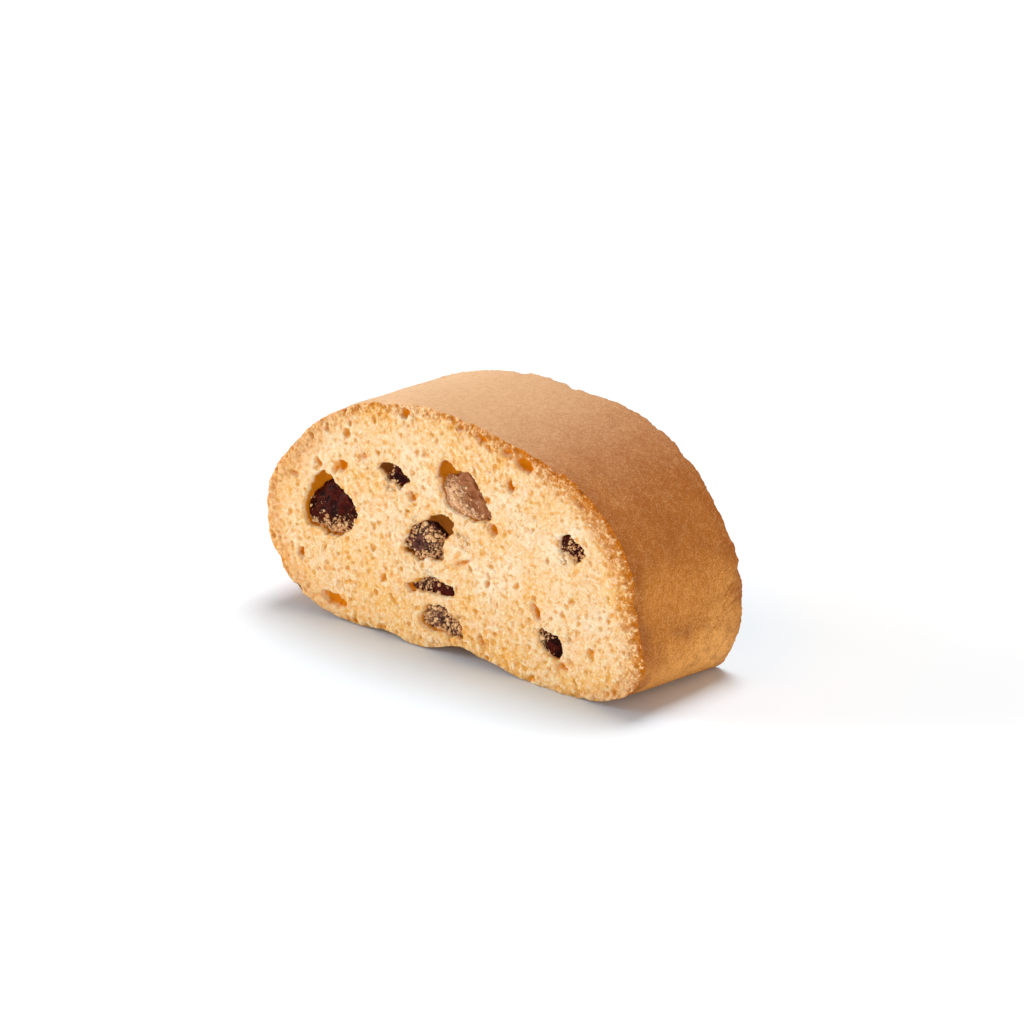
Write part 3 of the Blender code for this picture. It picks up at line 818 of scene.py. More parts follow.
    def crust(self) -> Array:
        """The crust's points, row by row from cut to cut.

        Each outline is moved along its normal by a slow swell, dents and fine wrinkles, and inwards
        near both cuts by chips. The bottom keeps to the plane that it rests on, less its hollows.
        """
        rows = self.row_places()
        base = np.stack([self.outline(y / THICKNESS + 0.5) for y in rows])
        tangent = np.roll(base, -1, axis=1) - np.roll(base, 1, axis=1)
        outward = np.stack([tangent[..., 1], -tangent[..., 0]], axis=-1)
        outward /= np.linalg.norm(outward, axis=-1, keepdims=True)
        y = np.broadcast_to(rows[:, None], base.shape[:2])
        placed = np.stack([base[..., 0], y, base[..., 1]], axis=-1)
        from_cut = THICKNESS / 2 - np.abs(y)
        swell = (gradient_noise(placed, 11.0, 101) - self.crust_sink) * self.crust_swell
        dents = np.clip(gradient_noise(placed, 5.0, 102), 0, 1) * self.dent
        wrinkles = layered_noise(placed * self.wrinkle_squash, 1.6, 3, 103) * self.wrinkle
        chips = np.clip(gradient_noise(placed, 2.9, 107) - self.chips_above, 0, 1) * self.chip
        chips = chips * np.exp(-from_cut / self.chip_reach)
        ragged = (layered_noise(placed, 0.7, 3, 109) + self.ragged_out) * self.ragged
        ragged = ragged * np.exp(-from_cut / self.ragged_reach)
        bottom = np.clip(1 - base[..., 1] / self.hollows_fade_at, 0, 1)
        strayed = gradient_noise(placed, 1.6, 111) * self.crease_stray
        crease = self.creased(y + strayed, placed[..., 2] + strayed) * (placed[..., 0] > self.creased_from)
        moved = (swell + dents) * (1 - bottom) + (wrinkles - chips - ragged - crease) * (1 - 0.5 * bottom)
        ring = base + outward * moved[..., None]
        hollow = sum(
            depth * np.exp(-(((ring[..., 0] - at_x) / reach_x) ** 2) - ((y - at_y) / reach_y) ** 2)
            for at_x, at_y, reach_x, reach_y, depth in self.bottom_hollows
        )
        height = np.maximum(ring[..., 1], 0) + hollow * bottom
        return np.stack([ring[..., 0], y, height], axis=-1)

    def creased(self, y: Array, z: Array) -> Array:
        """Depth of the creases: a bell curve of the distance to each straight line between its ends."""
        found = np.zeros(y.shape)
        for start_y, start_z, end_y, end_z in self.creases:
            run_y, run_z = end_y - start_y, end_z - start_z
            along = np.clip(((y - start_y) * run_y + (z - start_z) * run_z) / (run_y**2 + run_z**2), 0, 1)
            away = np.hypot(y - start_y - along * run_y, z - start_z - along * run_z)
            found = np.maximum(found, self.crease_depth * np.exp(-((away / self.crease_width) ** 2)))
        return found

    def upward(self, rows: Array) -> Array:
        """How far up the crust faces at each point, from -1 to 1, by the direction of its rows."""
        tangent = np.roll(rows, -self.slope_reach, axis=1) - np.roll(rows, self.slope_reach, axis=1)
        return -tangent[..., 0] / np.linalg.norm(tangent[..., [0, 2]], axis=-1)

    def sides_of(self, ring: Array, stride: int = 1) -> tuple[Array, Array, Array, Array]:
        """A ring's bottom, right, top and left, each with both its corners, running right or up."""
        closed = np.concatenate([ring, ring[:1]])
        ends = np.cumsum([0, self.cells_along, self.cells_up, self.cells_along, self.cells_up])
        bottom, right, top, left = (closed[a : b + 1 : stride] for a, b in zip(ends[:-1], ends[1:]))
        return bottom, right, top[::-1], left[::-1]

    def filled(self, ring: Array) -> Array:
        """A grid that fills a ring, each inner point at the middle of its neighbours.

        It starts coarse as the blend of the four sides less that of the corners, and each finer grid
        starts from the last one with its cells halved.
        """
        grid = None
        for level in reversed(range(self.levels)):
            stride = 2**level
            bottom, right, top, left = self.sides_of(ring, stride)
            if grid is None:
                u = np.linspace(0, 1, len(bottom))[:, None, None]
                v = np.linspace(0, 1, len(left))[None, :, None]
                corners = (1 - u) * ((1 - v) * bottom[0] + v * top[0])
                corners = corners + u * ((1 - v) * bottom[-1] + v * top[-1])
                grid = (1 - v) * bottom[:, None] + v * top[:, None] + (1 - u) * left[None] + u * right[None]
                grid = grid - corners
            else:
                grid = self.halved(grid)
            grid[:, 0], grid[-1], grid[:, -1], grid[0] = bottom, right, top, left
            for _ in range(self.evenings[0] if level == self.levels - 1 else self.evenings[1]):
                around = grid[:-2, 1:-1] + grid[2:, 1:-1] + grid[1:-1, :-2] + grid[1:-1, 2:]
                grid[1:-1, 1:-1] = around / 4
        return grid

    def halved(self, grid: Array) -> Array:
        """The grid with a point added midway between each two neighbours."""
        for axis in (0, 1):
            grid = np.moveaxis(grid, axis, 0)
            finer = np.empty((2 * len(grid) - 1, *grid.shape[1:]))
            finer[::2], finer[1::2] = grid, (grid[:-1] + grid[1:]) / 2
            grid = np.moveaxis(finer, 0, axis)
        return grid

    def distance_from(self, grid: Array, ring: Array) -> Array:
        """How far each place on a cut face is from the rim, to the nearest of every second rim point."""
        places = grid[..., [0, 2]].reshape(-1, 2)
        rim = ring[::2, [0, 2]]
        nearest = [
            np.sqrt(((some[:, None] - rim) ** 2).sum(axis=2).min(axis=1))
            for some in np.array_split(places, len(places) // AT_ONCE)
        ]
        return np.concatenate(nearest).reshape(grid.shape[:2])

    def face_ids(self, ring_ids: Array, inner_start: int) -> Array:
        """Vertex numbers of a cut face's grid, whose border is a ring of the crust."""
        ids = np.empty((self.cells_along + 1, self.cells_up + 1), int)
        ids[:, 0], ids[-1], ids[:, -1], ids[0] = self.sides_of(ring_ids)
        inside = ids[1:-1, 1:-1]
        ids[1:-1, 1:-1] = inner_start + np.arange(inside.size).reshape(inside.shape)
        return ids

    def cut_piece(self, name: str, rows: Array, face: CutFace) -> bpy.types.Object:
        """The slab of the slice behind one cut face.

        Args:
            name: the piece's name.
            rows: the crust's rows, the cut's own row first.
            face: the relief of the cut.

        Returns:
            The closed piece: cut face, crust band, and a flat fan at the joint.
        """
        rim = rows[0]
        grid = self.filled(rim)
        from_rim = self.distance_from(grid, rim)
        depth, stain, texture = face.relief(grid[..., 0], grid[..., 2], from_rim)
        behind = np.abs(rows[..., 1] - face.side * THICKNESS / 2)
        back = self.rim_setback(face, rim)
        rows = rows.copy()
        rows[..., 1] -= face.side * back * np.clip(1 - behind / self.joint_depth, 0, 1) ** 2
        grid[..., 1] -= face.side * depth
        ring_ids = np.arange(rows[..., 0].size).reshape(rows.shape[:2])
        ids = self.face_ids(ring_ids[0], ring_ids.size)
        hub = int(ids.max()) + 1
        last = rows[-1]
        middle = np.array([[last[:, 0].mean(), last[0, 1], last[:, 2].mean()]])
        points = np.concatenate([rows.reshape(-1, 3), grid[1:-1, 1:-1].reshape(-1, 3), middle])
        faces = [fan(ring_ids[-1], hub, first=False), tube(ring_ids), quads(ids)]
        if face.side == FAR:
            faces = [part[:, ::-1] for part in faces]
        piece = mesh_object(name, points, faces, flat=1)
        outside = np.arange(sum(len(part) for part in faces)) < len(faces[0]) + len(faces[1])
        piece.data.materials.append(self.inside)
        piece.data.materials.append(self.outside)
        piece.data.polygons.foreach_set("material_index", outside.astype(np.int32))
        none = np.zeros(ring_ids.shape)
        add_attributes(
            piece,
            from_rim=self.joined(-behind - self.rim_gap, from_rim),
            cavity=self.joined(none, texture - box_blur(texture, self.cavity_cells)),
            depth=self.joined(none, depth),
            stain=self.joined(none, stain),
            smear=self.joined(none, face.smeared(grid[..., 0], grid[..., 2])),
            upward=self.joined(self.upward(rows), np.zeros(depth.shape)),
        )
        return piece

    def rim_setback(self, face: CutFace, rim: Array) -> Array:
        """How far each rim point lies behind the cut: its relief, in part evened along the rim."""
        depth = np.clip(face.relief(rim[:, 0], rim[:, 2], np.zeros(len(rim)))[0], *self.setback_limits)
        reach = self.rim_evening
        around = np.concatenate([depth[-reach:], depth, depth[:reach]])
        width = 2 * reach + 1
        own, evened = self.setback_shares
        return own * depth + evened * np.convolve(around, np.full(width, 1 / width), "valid")

    def joined(self, outer: Array, inside: Array) -> Array:
        """Numbers for each vertex of a cut piece: the crust's, those within the rim, and the hub's."""
        return np.concatenate([outer.ravel(), inside[1:-1, 1:-1].ravel(), [0.0]])

    def middle_piece(self, name: str, rows: Array) -> bpy.types.Object:
        """The crust between the two slabs, closed by a flat fan at each joint."""
        ring_ids = np.arange(rows[..., 0].size).reshape(rows.shape[:2])
        middles = np.array([[row[:, 0].mean(), row[0, 1], row[:, 2].mean()] for row in (rows[0], rows[-1])])
        points = np.concatenate([rows.reshape(-1, 3), middles])
        first, last = fan(ring_ids[0], ring_ids.size, True), fan(ring_ids[-1], ring_ids.size + 1, False)
        piece = mesh_object(name, points, [first, last, tube(ring_ids)], flat=2)
        piece.data.materials.append(self.outside)
        behind = THICKNESS / 2 - np.abs(rows[..., 1])
        none = np.zeros(len(points))
        add_attributes(
            piece,
            from_rim=np.concatenate([-behind.ravel() - self.rim_gap, [-5.0, -5.0]]),
            upward=np.concatenate([self.upward(rows).ravel(), [0.0, 0.0]]),
            cavity=none,
            depth=none,
            stain=none,
            smear=none,
        )
        return piece

    def tucked(self, rows: Array, *ends: int) -> Array:
        """Rows of which the given ones are shrunk a little, to run just under the next piece's crust."""
        rows = rows.copy()
        for end in ends:
            middle = rows[end].mean(axis=0) * (1, 0, 1)
            rows[end] = middle + (rows[end] - middle) * (self.tuck, 1, self.tuck)
        return rows

    def build(self) -> None:
        """Makes the three pieces, each of which runs one row of the crust under the next."""
        rows = self.crust()
        fine = len(np.arange(0, self.joint_depth, self.fine_row))
        near = CutFace(NEAR, NEAR_RAISINS, NEAR_PORES, NEAR_SMEARS, 200)
        far = CutFace(FAR, FAR_RAISINS, FAR_PORES, FAR_SMEARS, 400)
        between = self.tucked(rows[fine - 1 : len(rows) - fine + 1], 0, -1)
        self.pieces = [
            self.cut_piece("biscuit_near_cut", self.tucked(rows[: fine + 2], -1), near),
            self.middle_piece("biscuit_middle", between),
            self.cut_piece("biscuit_far_cut", self.tucked(rows[::-1][: fine + 2], -1), far),
        ]


@dataclass
class RaisinBody:
    """One raisin's wrinkled body, and the crumbs that cling to its front."""

    raisin: Raisin
    side: int
    seed: int
    cells_round: int = 84
    cells_deep: int = 48
    larger: float = 1.07  # than what shows of it, so that it is held all round
    behind_view: tuple[float, float] = (-0.5, -0.29)  # seen through the near mouth from above right
    roundness: float = 0.8  # the power of the sine that widens it from pole to pole
    noise_step: tuple[float, float, float] = (9.1, 4.7, 2.3)  # from one raisin's noise to the next
    lump: float = 0.1
    fold: float = -0.22
    fold_mean: float = 0.05  # added, so that the folds leave the size as it is
    fold_squash: tuple[float, float, float] = (0.7, 1.0, 1.0)  # longer along the slice
    fine_fold: float = -0.07
    fine_mean: float = 0.015
    behind_folds: float = 0.4  # how strong they are at its back
    front_from: float = 0.05  # how far forward a place faces that crumbs may cling to
    front_steepness: float = 3.0
    all_round: float = 0.7  # the chance of crumbs that no side is given for
    less_all_round: float = 0.4  # for each unit of length of the given side
    by_side: float = 0.9
    crumbs_drawn: float = 1.7  # for each crumb that the raisin's table says
    crumbs_a_cluster: int = 6
    least_clusters: int = 4
    cluster_spread: float = 0.34
    crumb_sizes: tuple[float, float] = (0.06, 0.21)  # the least, and what the largest have more
    small_crumbs: float = 2.2  # the power of the draw, which makes most of them small
    crumb_sink: float = 0.05

    def points(self) -> tuple[Array, Array]:
        """Points from the front pole to the back one, and their directions with the folds' height.

        Across the cut, the radius at each angle is that of the raisin's outline, times a power of the
        sine of the way from pole to pole, and the depth goes by the cosine. Lumps and folds, which are
        less the size of a noise, scale it, and its front half is flattened to stay behind the cut.
        """
        polar = np.linspace(0, math.pi, self.cells_deep + 1)[:, None]
        around = np.linspace(0, 2 * math.pi, self.cells_round, endpoint=False)[None]
        loop = smooth_loop(np.array(self.raisin.outline), OUTLINE_STEPS)
        centre = loop.mean(axis=0)
        away = loop - centre
        angle = np.arctan2(away[:, 1], away[:, 0])
        order = np.argsort(angle)
        radius = np.interp(around, angle[order], np.linalg.norm(away, axis=1)[order], period=2 * math.pi)
        wide = np.sin(polar) ** self.roundness
        flat_x, flat_z = wide * np.cos(around), wide * np.sin(around)
        front = np.cos(polar) * np.ones_like(around)
        direction = np.stack([flat_x, front * self.side, flat_z], axis=-1)
        size = float(radius.mean())
        shift = self.seed * np.array(self.noise_step)
        lumps = gradient_noise(direction * size + shift, 2.6, 501) * self.lump
        drawn = direction * size * self.fold_squash + shift
        folds = np.abs(gradient_noise(drawn, 1.25, 502)) * self.fold + self.fold_mean
        fine = np.abs(gradient_noise(drawn, 0.5, 503)) * self.fine_fold + self.fine_mean
        swollen = 1 + (lumps + folds + fine) * np.where(front > 0, 1.0, self.behind_folds)
        middle = self.raisin.middle()
        reach = np.where(front > 0, middle - self.raisin.recess, self.raisin.half_depth)
        x = flat_x * radius * self.larger * swollen + centre[0]
        y = self.side * (THICKNESS / 2 - middle + front * reach * swollen)
        z = flat_z * radius * self.larger * swollen + centre[1]
        points = np.stack([x, y, z], axis=-1)
        if self.side == NEAR:
            points += np.array([self.behind_view[0], 0, self.behind_view[1]]) * middle
        return points, np.concatenate([direction, (folds + fine)[..., None]], axis=-1)

    def build(self) -> bpy.types.Object:
        """The raisin's closed mesh, with the height of its folds and its share of crumbs stored."""
        points, extra = self.points()
        poles = points[[0, -1]].mean(axis=1)
        body = points[1:-1]
        ids = np.arange(body[..., 0].size).reshape(body.shape[:2])
        faces = [tube(ids), fan(ids[0], ids.size, True), fan(ids[-1], ids.size + 1, False)]
        if self.side == FAR:
            faces = [part[:, ::-1] for part in faces]
        piece = mesh_object(self.raisin.name + "_fruit", np.concatenate([body.reshape(-1, 3), poles]), faces)
        ridge, crumbed = extra[1:-1, :, 3], self.crumbed(extra[1:-1])
        at_poles = [0.0, 0.0]
        add_attributes(
            piece,
            ridge=np.concatenate([ridge.ravel(), at_poles]),
            crumbed=np.concatenate([crumbed.ravel(), at_poles]),
        )
        return piece

    def crumbed(self, direction: Array) -> Array:
        """From 0 to 1, how likely crumbs cling at each place: on the front, towards the given side."""
        towards = np.array([self.raisin.crumbs_towards[0], 0, self.raisin.crumbs_towards[1]])
        bias = self.all_round - self.less_all_round * np.linalg.norm(towards)
        side = (direction[..., :3] * towards).sum(axis=-1) * self.by_side + bias
        front = np.clip(direction[..., 1] * self.side * self.front_steepness, 0, 1)
        return np.clip(side, 0, 1) * front

    def grains(self, rng: np.random.Generator) -> tuple[Array, Array]:
        """Places and sizes of the crumbs that cling to the raisin, in clusters where they are likely."""
        points, extra = self.points()
        chance = self.crumbed(extra) * np.sin(np.linspace(0, math.pi, len(points)))[:, None]
        chance = chance.ravel() / chance.sum()
        spots = points.reshape(-1, 3)
        count = int(self.raisin.crumbs * self.crumbs_drawn)
        cluster_count = max(count // self.crumbs_a_cluster, self.least_clusters)
        clusters = spots[rng.choice(chance.size, cluster_count, p=chance)]
        strayed = clusters[rng.integers(0, len(clusters), count)]
        strayed = strayed + rng.normal(0, self.cluster_spread, strayed.shape)
        fronts = spots[extra[..., 1].ravel() * self.side > self.front_from]
        nearest = [int(((fronts - place) ** 2).sum(axis=1).argmin()) for place in strayed]
        least, more = self.crumb_sizes
        sizes = least + more * rng.random(len(strayed)) ** self.small_crumbs
        return fronts[nearest] + rng.normal(0, self.crumb_sink, strayed.shape), sizes


@dataclass
class Crumbs:
    """All the loose crumbs, as one mesh of small broken lumps."""

    seed: int = 31
    dent: float = 0.4  # how far each corner is moved in or out, of its distance
    stretches: tuple[float, float] = (0.55, 1.5)
    piece: bpy.types.Object | None = None

    def lump(self) -> tuple[Array, Array]:
        """The corners and faces of a regular solid of twenty faces, from the golden ratio."""
        golden = (1 + math.sqrt(5)) / 2
        rings = [(a, b * golden, 0) for a in (-1, 1) for b in (-1, 1)]
        corners = np.array([np.roll(corner, turn) for turn in range(3) for corner in rings])
        corners = corners / np.linalg.norm(corners[0])
        edge = np.min([np.linalg.norm(corners[0] - other) for other in corners[1:]])
        close = np.linalg.norm(corners[:, None] - corners[None], axis=2) < edge * 1.1
        faces = []
        for a, b, c in combinations(range(len(corners)), 3):
            if close[a, b] and close[b, c] and close[a, c]:
                normal = np.cross(corners[b] - corners[a], corners[c] - corners[a])
                faces.append((a, b, c) if np.dot(normal, corners[a]) > 0 else (a, c, b))
        return corners, np.array(faces)

    def build(self, bodies: list[RaisinBody]) -> None:
        """Makes the crumbs of all the raisins, each lump stretched and dented by its own draw."""
        rng = np.random.default_rng(self.seed)
        drawn = [body.grains(rng) for body in bodies]
        places = np.concatenate([place for place, _ in drawn])
        sizes = np.concatenate([size for _, size in drawn])
        corners, faces = self.lump()
        count = len(places)
        dents = 1 + rng.uniform(-self.dent, self.dent, (count, len(corners), 1))
        stretch = rng.uniform(*self.stretches, (count, 1, 3))
        points = places[:, None] + corners * dents * stretch * sizes[:, None, None]
        all_faces = faces + np.arange(count)[:, None, None] * len(corners)
        self.piece = mesh_object("raisin_crumbs", points.reshape(-1, 3), [all_faces.reshape(-1, 3)])
        add_attributes(self.piece, tone=np.repeat(rng.random(count), len(corners)))


# Materials.


def math_node(operation: str, turned: bool = False) -> Callable:
    """A method that adds a Math node of a value and another, or the other way round."""

    def apply(first: "Value", second: "Value | float") -> "Value":
        """The node's output."""
        pair = (second, first) if turned else (first, second)
        return first.graph.value("ShaderNodeMath", {"operation": operation}, dict(enumerate(pair)))

    return apply


class Value:
    """A number socket of a shader, on which Python's arithmetic adds Math nodes."""

    def __init__(self, graph: "Graph", socket: bpy.types.NodeSocket) -> None:
        """Wraps an output socket of a graph's node."""
        self.graph = graph
        self.socket = socket

    __add__ = __radd__ = math_node("ADD")
    __mul__ = __rmul__ = math_node("MULTIPLY")
    __sub__, __rsub__ = math_node("SUBTRACT"), math_node("SUBTRACT", turned=True)
    __truediv__ = math_node("DIVIDE")
    highest = math_node("MAXIMUM")  # the larger of this and another

    def rise(self, start: float, end: float) -> "Value":
        """Goes smoothly from 0 where this is start to 1 where it is end, either way round."""
        low, high = min(start, end), max(start, end)
        settings = {"interpolation_type": "SMOOTHSTEP"}
        sockets = {"Value": self, "From Min": low, "From Max": high}
        risen = self.graph.value("ShaderNodeMapRange", settings, sockets, "Result")
        return risen if start < end else 1 - risen


Colour = tuple[float, float, float]


class Graph:
    """The nodes of one material, with Object coordinates at hand."""

    def __init__(self, name: str) -> None:
        """Starts a material with a Principled shader."""
        self.material = bpy.data.materials.new(name)
        self.material.use_nodes = True
        self.tree = self.material.node_tree
        self.shader = self.tree.nodes["Principled BSDF"]
        self.coordinates = self.node("ShaderNodeTexCoord", {}, {}).outputs["Object"]

    def node(self, kind: str, settings: dict, sockets: dict) -> bpy.types.Node:
        """Adds a node.

        Args:
            kind: the node's type.
            settings: its properties, which are set first.
            sockets: values or links of its input sockets, by name or number.

        Returns:
            The node.
        """
        made = self.tree.nodes.new(kind)
        for name, value in settings.items():
            setattr(made, name, value)
        for name, value in sockets.items():
            self.feed(made.inputs[name], value)
        return made

    def feed(self, socket: bpy.types.NodeSocket, value: object) -> None:
        """Links or sets a socket."""
        source = value.socket if isinstance(value, Value) else value
        if isinstance(source, bpy.types.NodeSocket):
            self.tree.links.new(source, socket)
        elif isinstance(source, tuple) and socket.type == "RGBA":
            socket.default_value = (*source, 1)
        else:
            socket.default_value = source

    def value(self, kind: str, settings: dict, sockets: dict, output: str | int = 0) -> Value:
        """One output of a new node, as a value."""
        return Value(self, self.node(kind, settings, sockets).outputs[output])

    def attribute(self, name: str) -> Value:
        """A number that the mesh stores for each vertex."""
        return self.value("ShaderNodeAttribute", {"attribute_name": name}, {}, "Fac")

    def place(self) -> tuple[Value, Value, Value]:
        """The x, y and height of each place, in millimetres."""
        split = self.node("ShaderNodeSeparateXYZ", {}, {"Vector": self.coordinates})
        x, y, z = (Value(self, output) / MM for output in split.outputs)
        return x, y, z

    def noise(self, length: float, detail: float = 2.0, roughness: float = 0.5, warp: float = 0.0) -> Value:
        """Noise from 0 to 1 that varies over a length in millimetres."""
        sockets = {"Vector": self.coordinates, "Scale": 1 / (length * MM), "Detail": detail}
        sockets |= {"Roughness": roughness, "Distortion": warp}
        return self.value("ShaderNodeTexNoise", {}, sockets, 0)

    def specks(self, length: float) -> tuple[Value, Value]:
        """The distance to the nearest of many spots, a length in millimetres apart, and its own draw."""
        sockets = {"Vector": self.coordinates, "Scale": 1 / (length * MM)}
        spots = self.node("ShaderNodeTexVoronoi", {}, sockets)
        drawn = self.value("ShaderNodeSeparateColor", {}, {"Color": spots.outputs["Color"]})
        return Value(self, spots.outputs["Distance"]), drawn

    def mixed(self, share: Value | float, first: object, second: object) -> bpy.types.NodeSocket:
        """The first colour where share is 0, and the second where it is 1."""
        made = self.node("ShaderNodeMix", {"data_type": "RGBA"}, {})
        self.feed(made.inputs[0], share)
        self.feed(made.inputs[6], first)
        self.feed(made.inputs[7], second)
        return made.outputs[2]

    def bump(self, height: Value, distance: float) -> None:
        """Feeds the shader's normal from a height, whose span is a distance in millimetres."""
        made = self.node("ShaderNodeBump", {}, {"Height": height, "Distance": distance * MM, "Strength": 1.0})
        self.tree.links.new(made.outputs["Normal"], self.shader.inputs["Normal"])

    def finish(self, **sockets: object) -> bpy.types.Material:
        """Sets the shader's sockets, whose names have underscores for spaces, and returns the material."""
        for name, value in sockets.items():
            self.feed(self.shader.inputs[name.replace("_", " ").title().replace("Ior", "IOR")], value)
        return self.material


@dataclass(frozen=True)
class BakedFinish:
    """Crumb and crust: pale and torn within, browned at the rim, smooth and brown outside."""

    cream: Colour = (0.905, 0.615, 0.335)
    warm: Colour = (0.90, 0.48, 0.12)
    # Random pale grain and patches, and painted highlight on the crumb's raised grain.
    white: Colour = (0.96, 0.82, 0.60)
    # Painted shade in the crumb's pits, orange like light scattered in it.
    pit: Colour = (0.83, 0.36, 0.04)
    blotch: Colour = (0.80, 0.34, 0.05)
    fleck: Colour = (0.48, 0.17, 0.02)
    toasted: Colour = (0.51, 0.14, 0.005)
    # Painted highlight on the baked rim's raised grain.
    crest: Colour = (0.93, 0.58, 0.23)
    pinkish: Colour = (0.80, 0.42, 0.17)
    # Painted shade deep in pockets and pores, amber like light scattered in the crumb.
    amber: Colour = (0.72, 0.225, 0.002)
    darkened: Colour = (0.21, 0.055, 0.006)
    side: Colour = (0.69, 0.25, 0.038)
    # Painted light bounced from the floor onto the lower crust.
    bounce_lit_side: Colour = (1.0, 0.475, 0.115)
    ruddy: Colour = (0.62, 0.24, 0.06)
    shade: Colour = (0.36, 0.10, 0.012)
    # Pale tops: partly the crust's own paler top, partly painted sheen and light from above.
    pale_top_and_sheen: Colour = (0.72, 0.42, 0.22)
    pale_left_top_and_sheen: Colour = (0.85, 0.55, 0.32)
    sugar: Colour = (0.88, 0.54, 0.25)

    def crumb(self, g: Graph, from_rim: Value) -> bpy.types.NodeSocket:
        """The colour inside the crust: cream, warmer low on the left and near the rim, and in the pits as
        painted shade.
        """
        cavity, depth, stain = g.attribute("cavity"), g.attribute("depth"), g.attribute("stain")
        x, _, z = g.place()
        left, right, low = x.rise(-12.0, -29.0), x.rise(12.0, 30.0), z.rise(8.0, 1.0)
        upper = x.rise(0.0, 12.0) * z.rise(16.0, 26.0)
        middle = x.rise(-9.0, 1.0) * x.rise(16.0, 6.0) * z.rise(5.0, 11.0) * z.rise(22.0, 15.0)
        corner = (x * 0.6 + z).rise(14.0, -8.0)
        # The ground, in slow patches from white to warm.
        warmth = from_rim.rise(6.0, 0.5) * 0.3 + corner * 0.3 + (g.noise(9.0, 2.0) - 0.5) * 1.9
        patchy = warmth + (g.noise(2.4, 3.0, 0.6) - 0.5) * 1.3
        colour = g.mixed((patchy + 0.2).rise(0.0, 1.15), self.cream, self.warm)
        colour = g.mixed((middle * 0.25 - patchy).rise(0.0, 0.7) * 0.7, colour, self.white)
        # The torn crumb's grain: pale where it stands out, partly random pale grain and partly painted
        # highlight, and darker orange where it lies back, painted shade tinted like light scattered in the
        # crumb. The blotches are random tone, a little more often in pits as painted shade.
        blotched = (g.noise(1.2, 3.0, 0.65) + warmth * 0.06 + cavity * 0.3).rise(0.54, 0.66)
        colour = g.mixed(blotched * 0.5, colour, self.blotch)
        sandy = g.noise(0.34, 3.0, 0.7) - 0.5
        colour = g.mixed((sandy - cavity * 0.7).rise(0.03, 0.16) * 0.62, colour, self.white)
        colour = g.mixed((cavity * 0.9 - sandy).rise(0.03, 0.2) * 0.6, colour, self.pit)
        colour = g.mixed(g.noise(0.3, 1.0, 0.6, 0.5).rise(0.68, 0.74) * 0.5, colour, self.fleck)
        # The baked rim, most of all above and on the right. It is browner in its pits as painted shade, and
        # less toasted low down as painted light against the shade under the bottom edge.
        colour = g.mixed((from_rim - left * 2.0).rise(3.0, 0.0) * 0.5 * left, colour, self.pinkish)
        edge = (from_rim + (g.noise(1.1, 3.0, 0.65) - 0.5) * 1.6).rise(1.3, 0.3)
        band = from_rim + (g.noise(1.3, 3.0) - 0.5) * 3.0
        band = (band - right * 1.2 - upper * 0.5 - left * 0.4 + low * 0.9).rise(2.8, 0.2)
        crumbs = g.noise(0.4, 4.0, 0.75) + cavity * 0.4 + upper * 0.04 + right * 0.03
        scorched = edge * upper.highest(right) * crumbs.rise(0.36, 0.52)
        grainy = (band * crumbs.rise(0.41, 0.57) * 0.76).highest(scorched)
        colour = g.mixed(grainy * (1 - left * 0.45) * (1 - low * 0.7), colour, self.toasted)
        # The rim's raised grain lighter: painted highlight.
        colour = g.mixed((sandy - cavity * 0.6).rise(0.06, 0.16) * band * 0.5, colour, self.crest)
        # The pockets and pores: amber deeper in, as painted shade tinted like light scattered in the crumb.
        # Then darker brown deep in some raisins' pockets, and where raisins have smeared the crumb.
        hollow = (depth + (g.noise(0.6, 2.0) - 0.5) * 0.3).rise(0.2, 0.75)
        colour = g.mixed(hollow, colour, self.amber)
        smear = g.attribute("smear") * g.noise(0.45, 3.0, 0.7).rise(0.4, 0.6)
        return g.mixed((stain * depth.rise(0.1, 0.5)).highest(smear * 0.75), colour, self.darkened)

    def crust(self, g: Graph) -> bpy.types.NodeSocket:
        """The colour outside: brown in soft patches, pale on top, partly as painted sheen and light from
        above, with fine bright and dark specks.
        """
        upward = g.attribute("upward")
        along, across, height = g.place()
        # Lighter low down and towards the far cut: painted light bounced from the floor.
        base = g.mixed((height - across * 0.6).rise(18.0, -2.0), self.side, self.bounce_lit_side)
        patches = g.noise(13.0, 3.0, 0.5) * 0.5 + g.noise(3.0, 4.0, 0.65) * 0.5
        shoulder = upward.rise(-0.12, 0.6) * 0.75 + g.attribute("from_rim").rise(-3.5, -0.3) * 0.45
        colour = g.mixed((patches.rise(0.4, 0.7) * 0.7 + shoulder).rise(0.0, 1.1), base, self.shade)
        colour = g.mixed(g.noise(1.5, 4.0, 0.75).rise(0.5, 0.66) * 0.35, colour, self.ruddy)
        # Paler where the crust faces up, most of all towards the middle and the left: partly its own paler
        # top, partly painted sheen and light from above.
        pale = (along + (g.noise(6.0, 4.0) - 0.5) * 9.0).rise(33.0, -2.0) * upward.rise(0.15, 0.8)
        pale = pale * (along + (g.noise(5.0, 4.0) - 0.5) * 6.0).rise(-30.0, -14.0)
        colour = g.mixed(pale, colour, g.mixed(along.rise(4.0, -22.0), self.pale_top_and_sheen, self.pale_left_top_and_sheen))
        grain = (g.noise(0.19, 2.0, 0.6) - 0.5) * 0.95 + (g.noise(0.9, 3.0, 0.7) - 0.5) * 0.45
        colour = g.mixed(grain.rise(-0.08, 0.2) * (0.66 - pale * 0.38), colour, self.shade)
        colour = g.mixed((0 - grain).rise(-0.04, 0.22) * 0.27, colour, self.sugar)
        near, picked = g.specks(0.45)
        near = near.rise(0.24, 0.1)
        colour = g.mixed(near * picked.rise(0.9, 0.94) * 0.14, colour, self.sugar)
        return g.mixed(near * picked.rise(0.12, 0.08) * 0.5, colour, self.shade)

